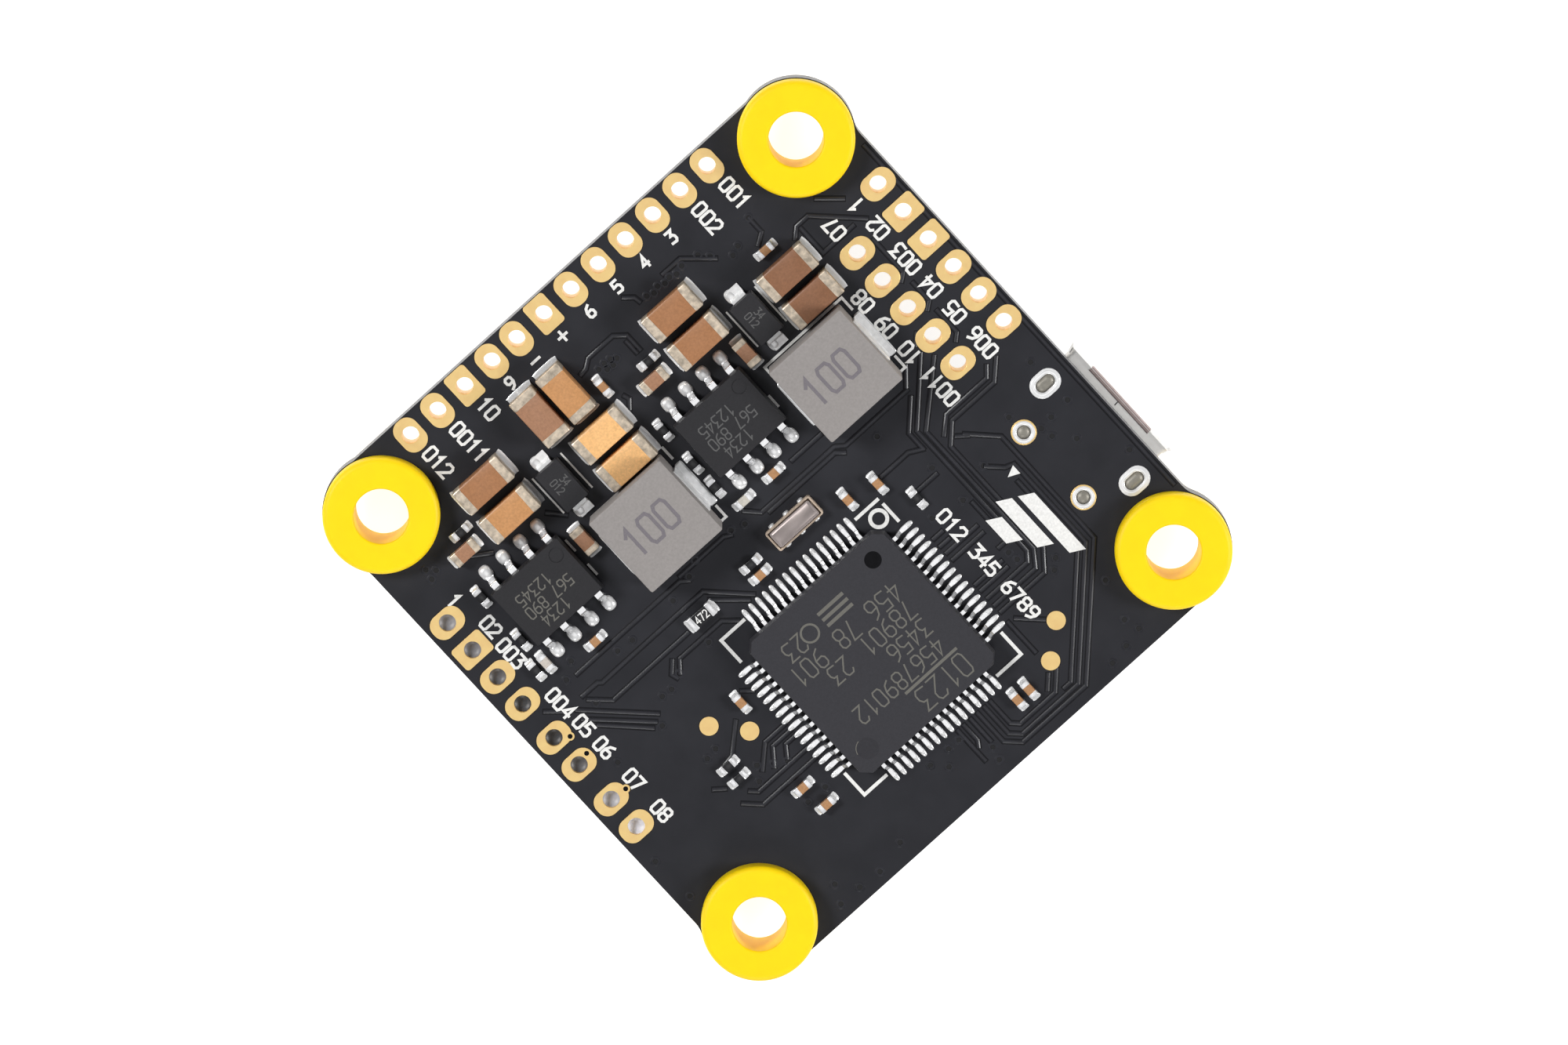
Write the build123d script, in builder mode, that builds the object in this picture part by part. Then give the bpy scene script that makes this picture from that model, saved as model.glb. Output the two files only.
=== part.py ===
from build123d import *
import math
import os

os.makedirs("parts", exist_ok=True)

# A 30.5 mm flight controller board.  Millimetres.  The origin is the centre of the
# four mounting holes on the board's lower face, +Z leaves the processor side, +Y points
# at the long row of solder pads and +X at the USB socket.

# ---- board -------------------------------------------------------------------------
board_top = 1.6                 # laminate thickness; the lower face is z = 0
board_size_x = 35.9
board_size_y = 36.8
hole_spacing = 30.5             # M3 stack pattern
lobe_radius = 3.25              # rounded ear around each mounting hole
ear_blend = 1.5                 # concave blend between an ear and a straight side
copper = 0.05                   # thickness of pads and of hole plating

# ---- silicone grommets -------------------------------------------------------------
screw_bore = 3.0
grommet_neck = 4.0
grommet_flange = 6.4
flange_height = 1.3
flange_round = 0.3
grommet_hole = 4.04

# ---- solder pads: pitch groups as (first, pitch, count) ------------------------------
pad_hole = 0.95
pad_size = (2.0, 1.45)          # long way points at the board's edge
front_row_y = 17.36
front_groups = [(-11.18, 2.0, 4), (-3.35, 2.0, 8)]
left_column_x = -16.7
left_groups = [(8.40, -2.02, 4), (-0.19, -2.03, 2), (-4.82, -2.03, 2)]
right_outer_x = 16.82
right_outer_groups = [(0.22, 2.03, 6)]
right_inner_x = 13.46
right_inner_groups = [(0.22, 2.03, 5)]
front_square_pads = (2, 5)      # power pads are square, counted along the row
left_square_pads = (1,)
right_square_pads = (3, 4)
test_pad_diameter = 1.05
test_pad_places = [(-10.02, -5.43), (-8.56, -7.13), (7.91, -13.88), (6.19, -15.33)]

# ---- USB socket --------------------------------------------------------------------
usb_y = -7.43
usb_back_x = 13.15
usb_mouth_x = 18.55
usb_width = 7.5
usb_height = 2.55
usb_sheet = 0.25
usb_narrow = 5.6                # width of the shell's lower face
usb_shoulder = 1.05             # height of the shell's slanted corners
front_leg = (16.21, 3.62)       # x, and distance from the socket's middle
rear_leg = (13.55, 2.42)
leg_thickness = 0.25
leg_width = 0.7
slot_size = (1.2, 0.75)
rear_hole = 0.8
leg_tip = board_top + 0.15

# ---- boot button, pressed towards +Z from below --------------------------------------
button_place = (8.9, -15.3)
button_base = (4.0, 3.0, 1.1)
button_cover = 0.2
button_stem = 1.6
button_flange = 2.2
button_travel = 0.25
button_face_z = -2.0

# ---- socket for the speed-controller lead --------------------------------------------
esc_size = (10.0, 4.25, 2.95)
esc_mouth_y = -18.35
esc_pitch = 1.0
esc_ways = 8
esc_pin = 0.25

# ---- parts on the upper face: (x, y, turn about Z) -----------------------------------
mcu_place = (-0.6, -8.28)
converter_places = {"left": (-11.37, 6.15), "right": (2.2, 6.27)}
inductor_places = {"left": (-4.43, 4.95), "right": (8.29, 4.45)}
diode_places = {"left": (-6.87, 9.85), "right": (7.08, 9.48)}
bulk_capacitor_places = [
    (-9.97, 12.76, 0), (-9.99, 10.63, 0), (-3.35, 10.44, 0), (-3.37, 8.46, 0),
    (3.94, 12.82, 0), (3.94, 10.74, 0), (10.05, 10.23, 0), (10.07, 8.21, 0),
    (-5.20, 13.46, 90), (-3.28, 13.46, 90),
]
filter_capacitor_places = [
    (-13.29, 10.65, 0), (0.67, 10.67, 0), (-8.07, 6.77, 90), (5.39, 8.41, 90),
]
decoupling_capacitor_places = [
    (-1.65, 12.29, 90), (9.90, 11.84, 0), (-11.40, 2.24, 0), (2.00, 2.52, 0),
    (-2.30, -1.12, 0), (4.00, -1.26, 90), (5.80, -1.71, 90), (-7.84, -5.61, 90),
    (-8.50, -11.38, 0), (-8.15, -12.93, 0), (3.43, -15.66, 90), (4.28, -15.66, 90),
    (-14.20, 3.20, 90), (-0.20, 2.50, 0),
]
chip_resistor_places = [
    (-12.76, 11.60, 0), (1.12, 11.65, 0), (-14.36, 8.22, 90), (-14.36, 5.00, 90),
    (-14.90, 3.24, 90), (-0.85, 8.30, 90), (-0.87, 5.87, 90), (-0.87, 4.10, 90),
    (-2.30, -0.36, 0), (6.84, -3.76, 90), (-10.73, -7.76, 0), (-10.75, -8.66, 0),
]
pull_up_place = (-6.20, -0.66, 0)
resonator_place = (1.00, -0.25)

# ---- parts on the lower face ---------------------------------------------------------
motion_sensor_place = (0.0, 0.0)
barometer_place = (-10.2, 8.2)
osd_place = (1.5, 11.0)
flash_place = (-9.6, -5.2)
regulator_places = [(-7.4, 13.6), (-10.9, 11.9), (9.6, -6.2)]
crystal_place = (10.2, 12.2)
status_led_places = [(-8.2, -16.6), (-10.2, -16.6)]
under_capacitor_places = [
    (-3.6, 2.8, 0), (3.4, -2.9, 90), (3.4, 0.9, 90), (-4.6, -1.0, 90), (-10.2, 5.6, 0),
    (-5.2, -9.4, 90), (-1.5, -9.4, 90), (2.2, -9.4, 90), (5.4, -9.4, 90), (7.4, -2.4, 0),
    (-5.4, 10.4, 90), (8.2, 8.6, 90), (10.4, 8.9, 0), (-12.6, -9.6, 0), (-12.6, -11.0, 0),
]


# ---- helpers -------------------------------------------------------------------------
def save(built, name):
    """Label a finished sub-part and write its STEP file."""
    built.part.label = name
    export_step(built.part, f"parts/{name}.step")


def on_top(places):
    """Locations on the board's upper face."""
    return [Location((x, y, board_top), (0, 0, turn)) for x, y, turn in places]


def below(places):
    """Locations on the lower face, with each part's own +Z pointing down."""
    return [Location((x, y, 0), (180, 0, turn)) for x, y, turn in places]


def chip_middle(length, width, height, end):
    """Ceramic middle of a two-terminal chip part, lying along X."""
    with BuildPart() as middle:
        with BuildSketch():
            Rectangle(length - 2 * end, width)
        extrude(amount=height)
    return middle.part


def chip_caps(length, width, height, end):
    """The two metal ends of a chip part."""
    with BuildPart() as caps:
        with BuildSketch():
            with GridLocations(length - end, 0, 2, 1):
                Rectangle(end, width)
        extrude(amount=height)
    return caps.part


def gull_wing(drop, shoulder, slope, reach, sheet, width):
    """A lead that leaves a package at x = 0, z = drop and ends in a foot on z = 0."""
    half = sheet / 2
    with BuildPart() as lead:
        with BuildSketch(Plane.XZ):
            with BuildLine():
                Polyline(
                    (0, drop + half), (shoulder + half, drop + half),
                    (shoulder + slope + half, sheet), (reach, sheet), (reach, 0),
                    (shoulder + slope - half, 0), (shoulder - half, drop - half),
                    (0, drop - half), close=True,
                )
            make_face()
        extrude(amount=width / 2, both=True)
        bends = [e for e in lead.edges().filter_by(Axis.Y) if 0.01 < e.center().X < reach - 0.01]
        fillet(bends, radius=min(sheet * 0.6, slope * 0.45))
    return lead.part


def lead_locations(place, half_body, pitch, per_side, sides, height=board_top, flip=False):
    """Where each lead of a package goes; sides are outward directions in degrees."""
    spots = []
    for side in sides:
        for index in range(per_side):
            along = (index - (per_side - 1) / 2) * pitch
            spots.append(package_spot(place, half_body, along, side, height, flip))
    return spots


def package_spot(place, half_body, along, side, height, flip):
    """One lead's location at a package's wall."""
    angle = math.radians(side)
    x = place[0] + half_body * math.cos(angle) - along * math.sin(angle)
    y = place[1] + half_body * math.sin(angle) + along * math.cos(angle)
    if flip:
        return Location((x, y, height), (180, 0, -side))
    return Location((x, y, height), (0, 0, side))


def moulded_body(size_x, size_y, height, lift, corner, draft):
    """A moulded package: two tapered halves that meet at the lead plane."""
    with BuildPart() as body:
        for direction in (1, -1):
            with BuildSketch(Plane.XY.offset(lift + height / 2)) as waist:
                Rectangle(size_x, size_y)
                chamfer(waist.vertices(), length=corner)
            extrude(amount=direction * height / 2, taper=draft)
    return body.part


def plated_pad(length, width, square):
    """A plated through-hole pad lying along X, with its rings and its barrel."""
    with BuildPart() as pad:
        for plane in (Plane.XY.offset(board_top), Plane.XY.offset(-copper)):
            with BuildSketch(plane):
                if square:
                    RectangleRounded(length, width, 0.2)
                else:
                    RectangleRounded(length, width, width / 2 - 0.08)
            extrude(amount=copper)
        with BuildSketch():
            Circle(pad_hole / 2 + copper)
        extrude(amount=board_top)
        with BuildSketch(Plane.XY.offset(-copper)):
            Circle(pad_hole / 2)
        extrude(amount=board_top + 2 * copper, mode=Mode.SUBTRACT)
    return pad.part


def stations(groups):
    """Positions along a row of pads."""
    return [first + pitch * index for first, pitch, count in groups for index in range(count)]


oval_pad = plated_pad(*pad_size, square=False)
square_pad = plated_pad(*pad_size, square=True)


def pad_row(places, turn, square_ones):
    """Every pad of one row or column."""
    with BuildPart() as row:
        for index, (x, y) in enumerate(places):
            with Locations(Location((x, y, 0), (0, 0, turn))):
                add(square_pad if index in square_ones else oval_pad)
    return row


front_pad_places = [(x, front_row_y) for x in stations(front_groups)]
left_pad_places = [(left_column_x, y) for y in stations(left_groups)]
right_outer_places = [(right_outer_x, y) for y in stations(right_outer_groups)]
right_inner_places = [(right_inner_x, y) for y in stations(right_inner_groups)]
all_pad_places = front_pad_places + left_pad_places + right_outer_places + right_inner_places
front_leg_places = [(front_leg[0], usb_y + side * front_leg[1]) for side in (-1, 1)]
rear_leg_places = [(rear_leg[0], usb_y + side * rear_leg[1]) for side in (-1, 1)]

# ---- circuit board -------------------------------------------------------------------
with BuildPart() as circuit_board:
    with BuildSketch() as outline:
        Rectangle(board_size_x, hole_spacing)
        Rectangle(hole_spacing, board_size_y)
        with GridLocations(hole_spacing, hole_spacing, 2, 2):
            Circle(lobe_radius)
        fillet(
            [v for v in outline.vertices() if abs(abs(v.X) - board_size_x / 2) < 0.01],
            radius=ear_blend,
        )
        with GridLocations(hole_spacing, hole_spacing, 2, 2):
            Circle(grommet_hole / 2, mode=Mode.SUBTRACT)
        with Locations(*all_pad_places):
            Circle(pad_hole / 2 + copper, mode=Mode.SUBTRACT)
        with Locations(*rear_leg_places):
            Circle(rear_hole / 2 + copper, mode=Mode.SUBTRACT)
        with Locations(*front_leg_places):
            SlotOverall(slot_size[0] + 2 * copper, slot_size[1] + 2 * copper, mode=Mode.SUBTRACT)
    extrude(amount=board_top)
save(circuit_board, "circuit_board")

# ---- grommets ------------------------------------------------------------------------
corners = {
    "front_left": (-1, 1), "front_right": (1, 1), "rear_left": (-1, -1), "rear_right": (1, -1),
}
for corner_name, (side_x, side_y) in corners.items():
    centre = Plane((side_x * hole_spacing / 2, side_y * hole_spacing / 2, 0))
    with BuildPart() as grommet:
        for face_z, direction in ((board_top, 1), (0, -1)):
            with BuildSketch(centre.offset(face_z)):
                Circle(grommet_flange / 2)
            extrude(amount=direction * flange_height)
        with BuildSketch(centre):
            Circle(grommet_neck / 2)
        extrude(amount=board_top)
        rims = grommet.edges().group_by(Axis.Z)
        fillet(rims[0] + rims[-1], radius=flange_round)
        with BuildSketch(centre.offset(-flange_height)):
            Circle(screw_bore / 2)
        extrude(amount=board_top + 2 * flange_height, mode=Mode.SUBTRACT)
    save(grommet, f"grommet_{corner_name}")

# ---- solder pads ---------------------------------------------------------------------
front_pads = pad_row(front_pad_places, 90, front_square_pads)
save(front_pads, "front_pads")
left_pads = pad_row(left_pad_places, 0, left_square_pads)
save(left_pads, "left_pads")
right_outer_pads = pad_row(right_outer_places, 0, right_square_pads)
save(right_outer_pads, "right_outer_pads")
right_inner_pads = pad_row(right_inner_places, 0, ())
save(right_inner_pads, "right_inner_pads")

with BuildPart() as test_pads:
    with BuildSketch(Plane.XY.offset(board_top)):
        with Locations(*test_pad_places):
            Circle(test_pad_diameter / 2)
    extrude(amount=copper)
save(test_pads, "test_pads")

# ---- processor, LQFP-64 ----------------------------------------------------------------
mcu_width = 10.0
mcu_height = 1.4
mcu_lift = 0.05
mcu_lead_plane = mcu_lift + mcu_height / 2
mcu_body_solid = moulded_body(mcu_width, mcu_width, mcu_height, mcu_lift, 0.55, 9)
dimple_offset = (3.5, 3.78)
with BuildPart() as mcu_body:
    with Locations((*mcu_place, board_top)):
        add(mcu_body_solid)
    with BuildSketch(Plane.XY.offset(board_top + mcu_lift + mcu_height - 0.06)):
        with Locations((mcu_place[0] + dimple_offset[0], mcu_place[1] + dimple_offset[1])):
            Circle(0.42)
    extrude(amount=0.1, mode=Mode.SUBTRACT)
save(mcu_body, "mcu_body")

mcu_lead = gull_wing(mcu_lead_plane, 0.22, 0.18, 1.0, 0.13, 0.22)
with BuildPart() as mcu_leads:
    with Locations(*lead_locations(mcu_place, mcu_width / 2, 0.5, 16, (0, 90, 180, 270))):
        add(mcu_lead)
save(mcu_leads, "mcu_leads")

# ---- step-down converters, SOIC-8 -------------------------------------------------------
soic_x, soic_y, soic_height, soic_lift = 4.9, 3.9, 1.45, 0.1
soic_solid = moulded_body(soic_x, soic_y, soic_height, soic_lift, 0.08, 7)
soic_lead = gull_wing(soic_lift + soic_height / 2, 0.24, 0.2, 1.05, 0.2, 0.42)
for side_name, (x, y) in converter_places.items():
    with BuildPart() as converter_body:
        with Locations((x, y, board_top)):
            add(soic_solid)
        with BuildSketch(Plane.XY.offset(board_top + soic_lift + soic_height - 0.05)):
            with Locations((x + 1.75, y + 1.15)):
                Circle(0.42)
        extrude(amount=0.1, mode=Mode.SUBTRACT)
    save(converter_body, f"converter_{side_name}_body")
    with BuildPart() as converter_leads:
        with Locations(*lead_locations((x, y), soic_y / 2, 1.27, 4, (90, 270))):
            add(soic_lead)
    save(converter_leads, f"converter_{side_name}_leads")

# ---- moulded power inductors ------------------------------------------------------------
inductor_x, inductor_y, inductor_height = 5.2, 5.1, 2.8
terminal_width, terminal_sheet, terminal_rise, terminal_toe = 2.9, 0.18, 1.7, 0.35
for side_name, (x, y) in inductor_places.items():
    with BuildPart() as inductor_body:
        with BuildSketch(Plane((x, y, board_top + terminal_sheet))):
            RectangleRounded(inductor_x, inductor_y, 0.25)
        extrude(amount=inductor_height)
        chamfer(inductor_body.faces().sort_by(Axis.Z)[-1].edges(), length=0.18)
    save(inductor_body, f"inductor_{side_name}_body")
    with BuildPart() as inductor_terminals:
        for side in (-1, 1):
            wall_x = x + side * (inductor_x + terminal_sheet) / 2
            with BuildSketch(Plane((wall_x, y, board_top))):
                Rectangle(terminal_sheet, terminal_width)
            extrude(amount=terminal_rise)
            foot_x = x + side * (inductor_x / 2 - 0.6 + (0.6 + terminal_sheet + terminal_toe) / 2)
            with BuildSketch(Plane((foot_x, y, board_top))):
                Rectangle(0.6 + terminal_sheet + terminal_toe, terminal_width)
            extrude(amount=terminal_sheet)
    save(inductor_terminals, f"inductor_{side_name}_terminals")

# ---- rectifier diodes, SOD-123, lying along Y ---------------------------------------------
diode_length, diode_width, diode_height = 2.7, 1.65, 1.1
diode_lead_width, diode_foot = 0.9, 0.75
for side_name, (x, y) in diode_places.items():
    with BuildPart() as diode_body:
        with Locations((x, y, board_top)):
            add(moulded_body(diode_width, diode_length, diode_height, 0.05, 0.06, 6))
    save(diode_body, f"diode_{side_name}_body")
    diode_lead = gull_wing(0.05 + diode_height / 2, 0.12, 0.1, diode_foot, 0.14, diode_lead_width)
    with BuildPart() as diode_leads:
        with Locations(*lead_locations((x, y), diode_length / 2, 0, 1, (90, 270))):
            add(diode_lead)
    save(diode_leads, f"diode_{side_name}_leads")

# ---- chip capacitors and resistors: length, width, height, metal end -----------------------
bulk_size = (3.2, 1.6, 1.6, 0.5)
filter_size = (1.6, 0.8, 0.8, 0.35)
small_capacitor_size = (1.0, 0.5, 0.5, 0.25)
small_resistor_size = (1.0, 0.5, 0.35, 0.25)
pull_up_size = (1.6, 0.8, 0.45, 0.3)
chip_groups = [
    ("bulk_capacitor", "s", bulk_size, bulk_capacitor_places),
    ("filter_capacitor", "s", filter_size, filter_capacitor_places),
    ("decoupling_capacitor", "s", small_capacitor_size, decoupling_capacitor_places),
    ("chip_resistor", "s", small_resistor_size, chip_resistor_places),
    ("pull_up_resistor", "", pull_up_size, [pull_up_place]),
]
for chip_name, plural, chip_size, chip_places in chip_groups:
    middle_solid = chip_middle(*chip_size)
    cap_solids = chip_caps(*chip_size)
    with BuildPart() as chip_bodies:
        with Locations(*on_top(chip_places)):
            add(middle_solid)
    save(chip_bodies, chip_name + plural)
    with BuildPart() as chip_ends:
        with Locations(*on_top(chip_places)):
            add(cap_solids)
    save(chip_ends, chip_name + "_ends")

# ---- ceramic resonator --------------------------------------------------------------------
with BuildPart() as resonator_base:
    with BuildSketch(Plane((*resonator_place, board_top))):
        RectangleRounded(3.2, 1.3, 0.1)
    extrude(amount=0.55)
save(resonator_base, "resonator_base")
with BuildPart() as resonator_lid:
    with BuildSketch(Plane((*resonator_place, board_top + 0.55))):
        RectangleRounded(2.9, 1.05, 0.15)
    extrude(amount=0.2)
    fillet(resonator_lid.faces().sort_by(Axis.Z)[-1].edges(), radius=0.08)
save(resonator_lid, "resonator_lid")

# ---- USB socket on the lower face ------------------------------------------------------------
usb_depth = usb_mouth_x - usb_back_x
section_back = Plane(origin=(usb_back_x, usb_y, 0), x_dir=(0, 1, 0), z_dir=(1, 0, 0))


def usb_section(inset):
    """Outline of the socket, wide next to the board and narrow below, drawn from its mouth."""
    half_wide = usb_width / 2 - inset
    half_narrow = usb_narrow / 2 - inset * 0.6
    upper, lower = -inset, inset - usb_height
    with BuildSketch() as section:
        with BuildLine():
            Polyline(
                (-half_wide, upper), (half_wide, upper), (half_wide, lower + usb_shoulder),
                (half_narrow, lower), (-half_narrow, lower), (-half_wide, lower + usb_shoulder),
                close=True,
            )
        make_face()
    return section.sketch


usb_outside = usb_section(0)
usb_inside = usb_section(usb_sheet)
with BuildPart() as usb_shell:
    with BuildSketch(section_back):
        add(usb_outside)
    extrude(amount=usb_depth)
    with BuildSketch(section_back.offset(usb_sheet)):
        add(usb_inside)
    extrude(amount=usb_depth, mode=Mode.SUBTRACT)
    lip = 0.15
    lip_plane = Plane((usb_mouth_x, usb_y, -usb_sheet))
    with BuildSketch(lip_plane):
        with Locations((lip / 2, 0)):
            Rectangle(lip, 4.8)
    extrude(amount=usb_sheet)
    with BuildSketch():
        with Locations(*front_leg_places):
            Rectangle(leg_width, leg_thickness)
        with Locations(*rear_leg_places):
            Rectangle(leg_thickness, leg_thickness * 2)
    extrude(amount=leg_tip)
save(usb_shell, "usb_shell")

tongue_size = (3.6, 0.6)
tongue_z = -1.15
with BuildPart() as usb_tongue:
    block_plane = Plane(origin=(usb_back_x + usb_sheet, usb_y, 0), x_dir=(0, 1, 0), z_dir=(1, 0, 0))
    with BuildSketch(block_plane):
        add(usb_inside)
    extrude(amount=1.2)
    with BuildSketch(block_plane.offset(1.2)):
        with Locations((0, tongue_z)):
            Rectangle(*tongue_size)
    extrude(amount=2.9)
save(usb_tongue, "usb_tongue")

contact_pitch = 0.65
contact_thickness = 0.1
with BuildPart() as usb_contacts:
    with BuildSketch(block_plane.offset(1.2)):
        with Locations((0, tongue_z - (tongue_size[1] + contact_thickness) / 2)):
            with GridLocations(contact_pitch, 0, 5, 1):
                Rectangle(0.35, contact_thickness)
    extrude(amount=2.7)
save(usb_contacts, "usb_contacts")

with BuildPart() as usb_mounting_pads:
    for plane in (Plane.XY.offset(board_top), Plane.XY.offset(-copper)):
        with BuildSketch(plane):
            with Locations(*front_leg_places):
                SlotOverall(1.85, 1.4)
            with Locations(*rear_leg_places):
                Circle(0.71)
        extrude(amount=copper)
    with BuildSketch():
        with Locations(*front_leg_places):
            SlotOverall(slot_size[0] + 2 * copper, slot_size[1] + 2 * copper)
        with Locations(*rear_leg_places):
            Circle(rear_hole / 2 + copper)
    extrude(amount=board_top)
    with BuildSketch(Plane.XY.offset(-copper)):
        with Locations(*front_leg_places):
            SlotOverall(*slot_size)
        with Locations(*rear_leg_places):
            Circle(rear_hole / 2)
    extrude(amount=board_top + 2 * copper, mode=Mode.SUBTRACT)
    with BuildSketch(section_back):
        add(usb_outside)
    extrude(amount=usb_depth, mode=Mode.SUBTRACT)
save(usb_mounting_pads, "usb_mounting_pads")

with BuildPart() as usb_tab_solder:
    with BuildSketch():
        with Locations(*front_leg_places):
            SlotOverall(*slot_size)
            Rectangle(leg_width, leg_thickness, mode=Mode.SUBTRACT)
        with Locations(*rear_leg_places):
            Circle(rear_hole / 2)
            Rectangle(leg_thickness, leg_thickness * 2, mode=Mode.SUBTRACT)
    extrude(amount=board_top)
save(usb_tab_solder, "usb_tab_solder")

# ---- boot button on the lower face --------------------------------------------------------------
button_plane = Plane((*button_place, 0))
recess_floor = -0.4
running_gap = 0.02
base_face = -button_base[2]
flange_face = base_face + running_gap
flange_back = flange_face + 0.2
dome_rise = flange_back + 0.01
with BuildPart() as boot_button_base:
    with BuildSketch(button_plane.offset(base_face)):
        RectangleRounded(button_base[0], button_base[1], 0.15)
    extrude(amount=button_base[2])
    with BuildSketch(button_plane.offset(base_face)):
        Circle(button_flange / 2 + 0.1)
    extrude(amount=recess_floor - base_face, mode=Mode.SUBTRACT)
save(boot_button_base, "boot_button_base")

with BuildPart() as boot_button_cover:
    with BuildSketch(button_plane.offset(base_face - button_cover)):
        RectangleRounded(button_base[0] - 0.3, button_base[1] - 0.1, 0.15)
        Circle(button_stem / 2 + 0.08, mode=Mode.SUBTRACT)
    extrude(amount=button_cover)
save(boot_button_cover, "boot_button_cover")

with BuildPart() as boot_button_plunger:
    with BuildSketch(button_plane.offset(flange_face)):
        Circle(button_flange / 2)
    extrude(amount=flange_back - flange_face)
    with BuildSketch(button_plane.offset(button_face_z)):
        Circle(button_stem / 2)
    extrude(amount=flange_face - button_face_z)
    fillet(boot_button_plunger.edges().sort_by(Axis.Z)[0], radius=0.15)
save(boot_button_plunger, "boot_button_plunger")

dome_radius = button_flange / 2
dome_height = recess_floor - dome_rise
dome_sheet = 0.06
dome_curve = (dome_radius**2 + dome_height**2) / (2 * dome_height)
dome_plane = Plane(origin=(*button_place, 0), x_dir=(1, 0, 0), z_dir=(0, -1, 0))


def dome_arc(radius):
    """Three points of the dome's section, from its crown to its foot."""
    foot_angle = math.acos((dome_curve - dome_height) / radius)
    centre_z = dome_rise + dome_curve
    return [
        (radius * math.sin(angle), centre_z - radius * math.cos(angle))
        for angle in (0, foot_angle / 2, foot_angle)
    ]


with BuildPart() as boot_button_dome:
    with BuildSketch(dome_plane):
        with BuildLine():
            crown = ThreePointArc(*dome_arc(dome_curve))
            underside = ThreePointArc(*dome_arc(dome_curve - dome_sheet))
            Line(crown @ 1, underside @ 1)
            Line(underside @ 0, crown @ 0)
        make_face()
    revolve(axis=Axis((*button_place, 0), (0, 0, 1)))
save(boot_button_dome, "boot_button_dome")

with BuildPart() as boot_button_terminals:
    with BuildSketch(button_plane.offset(-0.15)):
        with GridLocations(button_base[0] + 0.5, 1.9, 2, 2):
            Rectangle(0.5, 0.5)
    extrude(amount=0.15)
save(boot_button_terminals, "boot_button_terminals")

# ---- socket for the speed-controller lead, lower face, opening at the rear edge ------------------
esc_middle_y = esc_mouth_y + esc_size[1] / 2
esc_wall = 0.55
esc_cavity_depth = 3.2
esc_pin_z = -1.35
with BuildPart() as esc_socket_housing:
    with BuildSketch(Plane((0, esc_middle_y, -esc_size[2]))):
        Rectangle(esc_size[0], esc_size[1])
    extrude(amount=esc_size[2])
    mouth = Plane(origin=(0, esc_mouth_y, 0), x_dir=(1, 0, 0), z_dir=(0, -1, 0))
    with BuildSketch(mouth):
        with Locations((0, -esc_size[2] / 2)):
            Rectangle(esc_size[0] - 2 * esc_wall, esc_size[2] - 2 * 0.5)
    extrude(amount=-esc_cavity_depth, mode=Mode.SUBTRACT)
    with BuildSketch(mouth.offset(-esc_cavity_depth)):
        with Locations((0, esc_pin_z)):
            with GridLocations(esc_pitch, 0, esc_ways, 1):
                Rectangle(esc_pin, esc_pin)
    extrude(amount=-esc_size[1], mode=Mode.SUBTRACT)
    with BuildSketch(mouth):
        with Locations((0, -esc_size[2] + 0.25)):
            with GridLocations(5.0, 0, 2, 1):
                Rectangle(1.6, 0.5)
    extrude(amount=-2.4, mode=Mode.SUBTRACT)
save(esc_socket_housing, "esc_socket_housing")

tail_reach = 0.75
with BuildPart() as esc_socket_contacts:
    with BuildSketch(mouth.offset(-0.9)):
        with Locations((0, esc_pin_z)):
            with GridLocations(esc_pitch, 0, esc_ways, 1):
                Rectangle(esc_pin, esc_pin)
    extrude(amount=-(esc_size[1] - 0.9 + esc_pin))
    with BuildSketch(mouth.offset(-esc_size[1])):
        with Locations((0, esc_pin_z / 2)):
            with GridLocations(esc_pitch, 0, esc_ways, 1):
                Rectangle(esc_pin, -esc_pin_z)
    extrude(amount=-esc_pin)
    with BuildSketch(mouth.offset(-esc_size[1])):
        with Locations((0, -esc_pin / 2)):
            with GridLocations(esc_pitch, 0, esc_ways, 1):
                Rectangle(esc_pin, esc_pin)
    extrude(amount=-(tail_reach + esc_pin))
save(esc_socket_contacts, "esc_socket_contacts")

with BuildPart() as esc_socket_anchors:
    for side in (-1, 1):
        with BuildSketch(Plane((side * (esc_size[0] / 2 + 0.1), esc_mouth_y + 1.5, -1.6))):
            Rectangle(0.2, 1.4)
        extrude(amount=1.6)
        with BuildSketch(Plane((side * (esc_size[0] / 2 + 0.5), esc_mouth_y + 1.5, -0.2))):
            Rectangle(0.6, 1.4)
        extrude(amount=0.2)
save(esc_socket_anchors, "esc_socket_anchors")

# ---- sensors, memory and small parts on the lower face -------------------------------------------
with BuildPart() as motion_sensor:
    with BuildSketch(Plane((*motion_sensor_place, -0.9))):
        RectangleRounded(4.0, 4.0, 0.1)
    extrude(amount=0.9)
save(motion_sensor, "motion_sensor")

with BuildPart() as barometer_base:
    with BuildSketch(Plane((*barometer_place, -0.35))):
        Rectangle(2.5, 2.0)
    extrude(amount=0.35)
save(barometer_base, "barometer_base")
with BuildPart() as barometer_lid:
    with BuildSketch(Plane((*barometer_place, -0.95))):
        RectangleRounded(2.3, 1.8, 0.2)
    extrude(amount=0.6)
    fillet(barometer_lid.faces().sort_by(Axis.Z)[0].edges(), radius=0.12)
    with BuildSketch(Plane((*barometer_place, -0.95))):
        with Locations((0.7, 0.45)):
            Circle(0.15)
    extrude(amount=0.2, mode=Mode.SUBTRACT)
save(barometer_lid, "barometer_lid")

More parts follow.
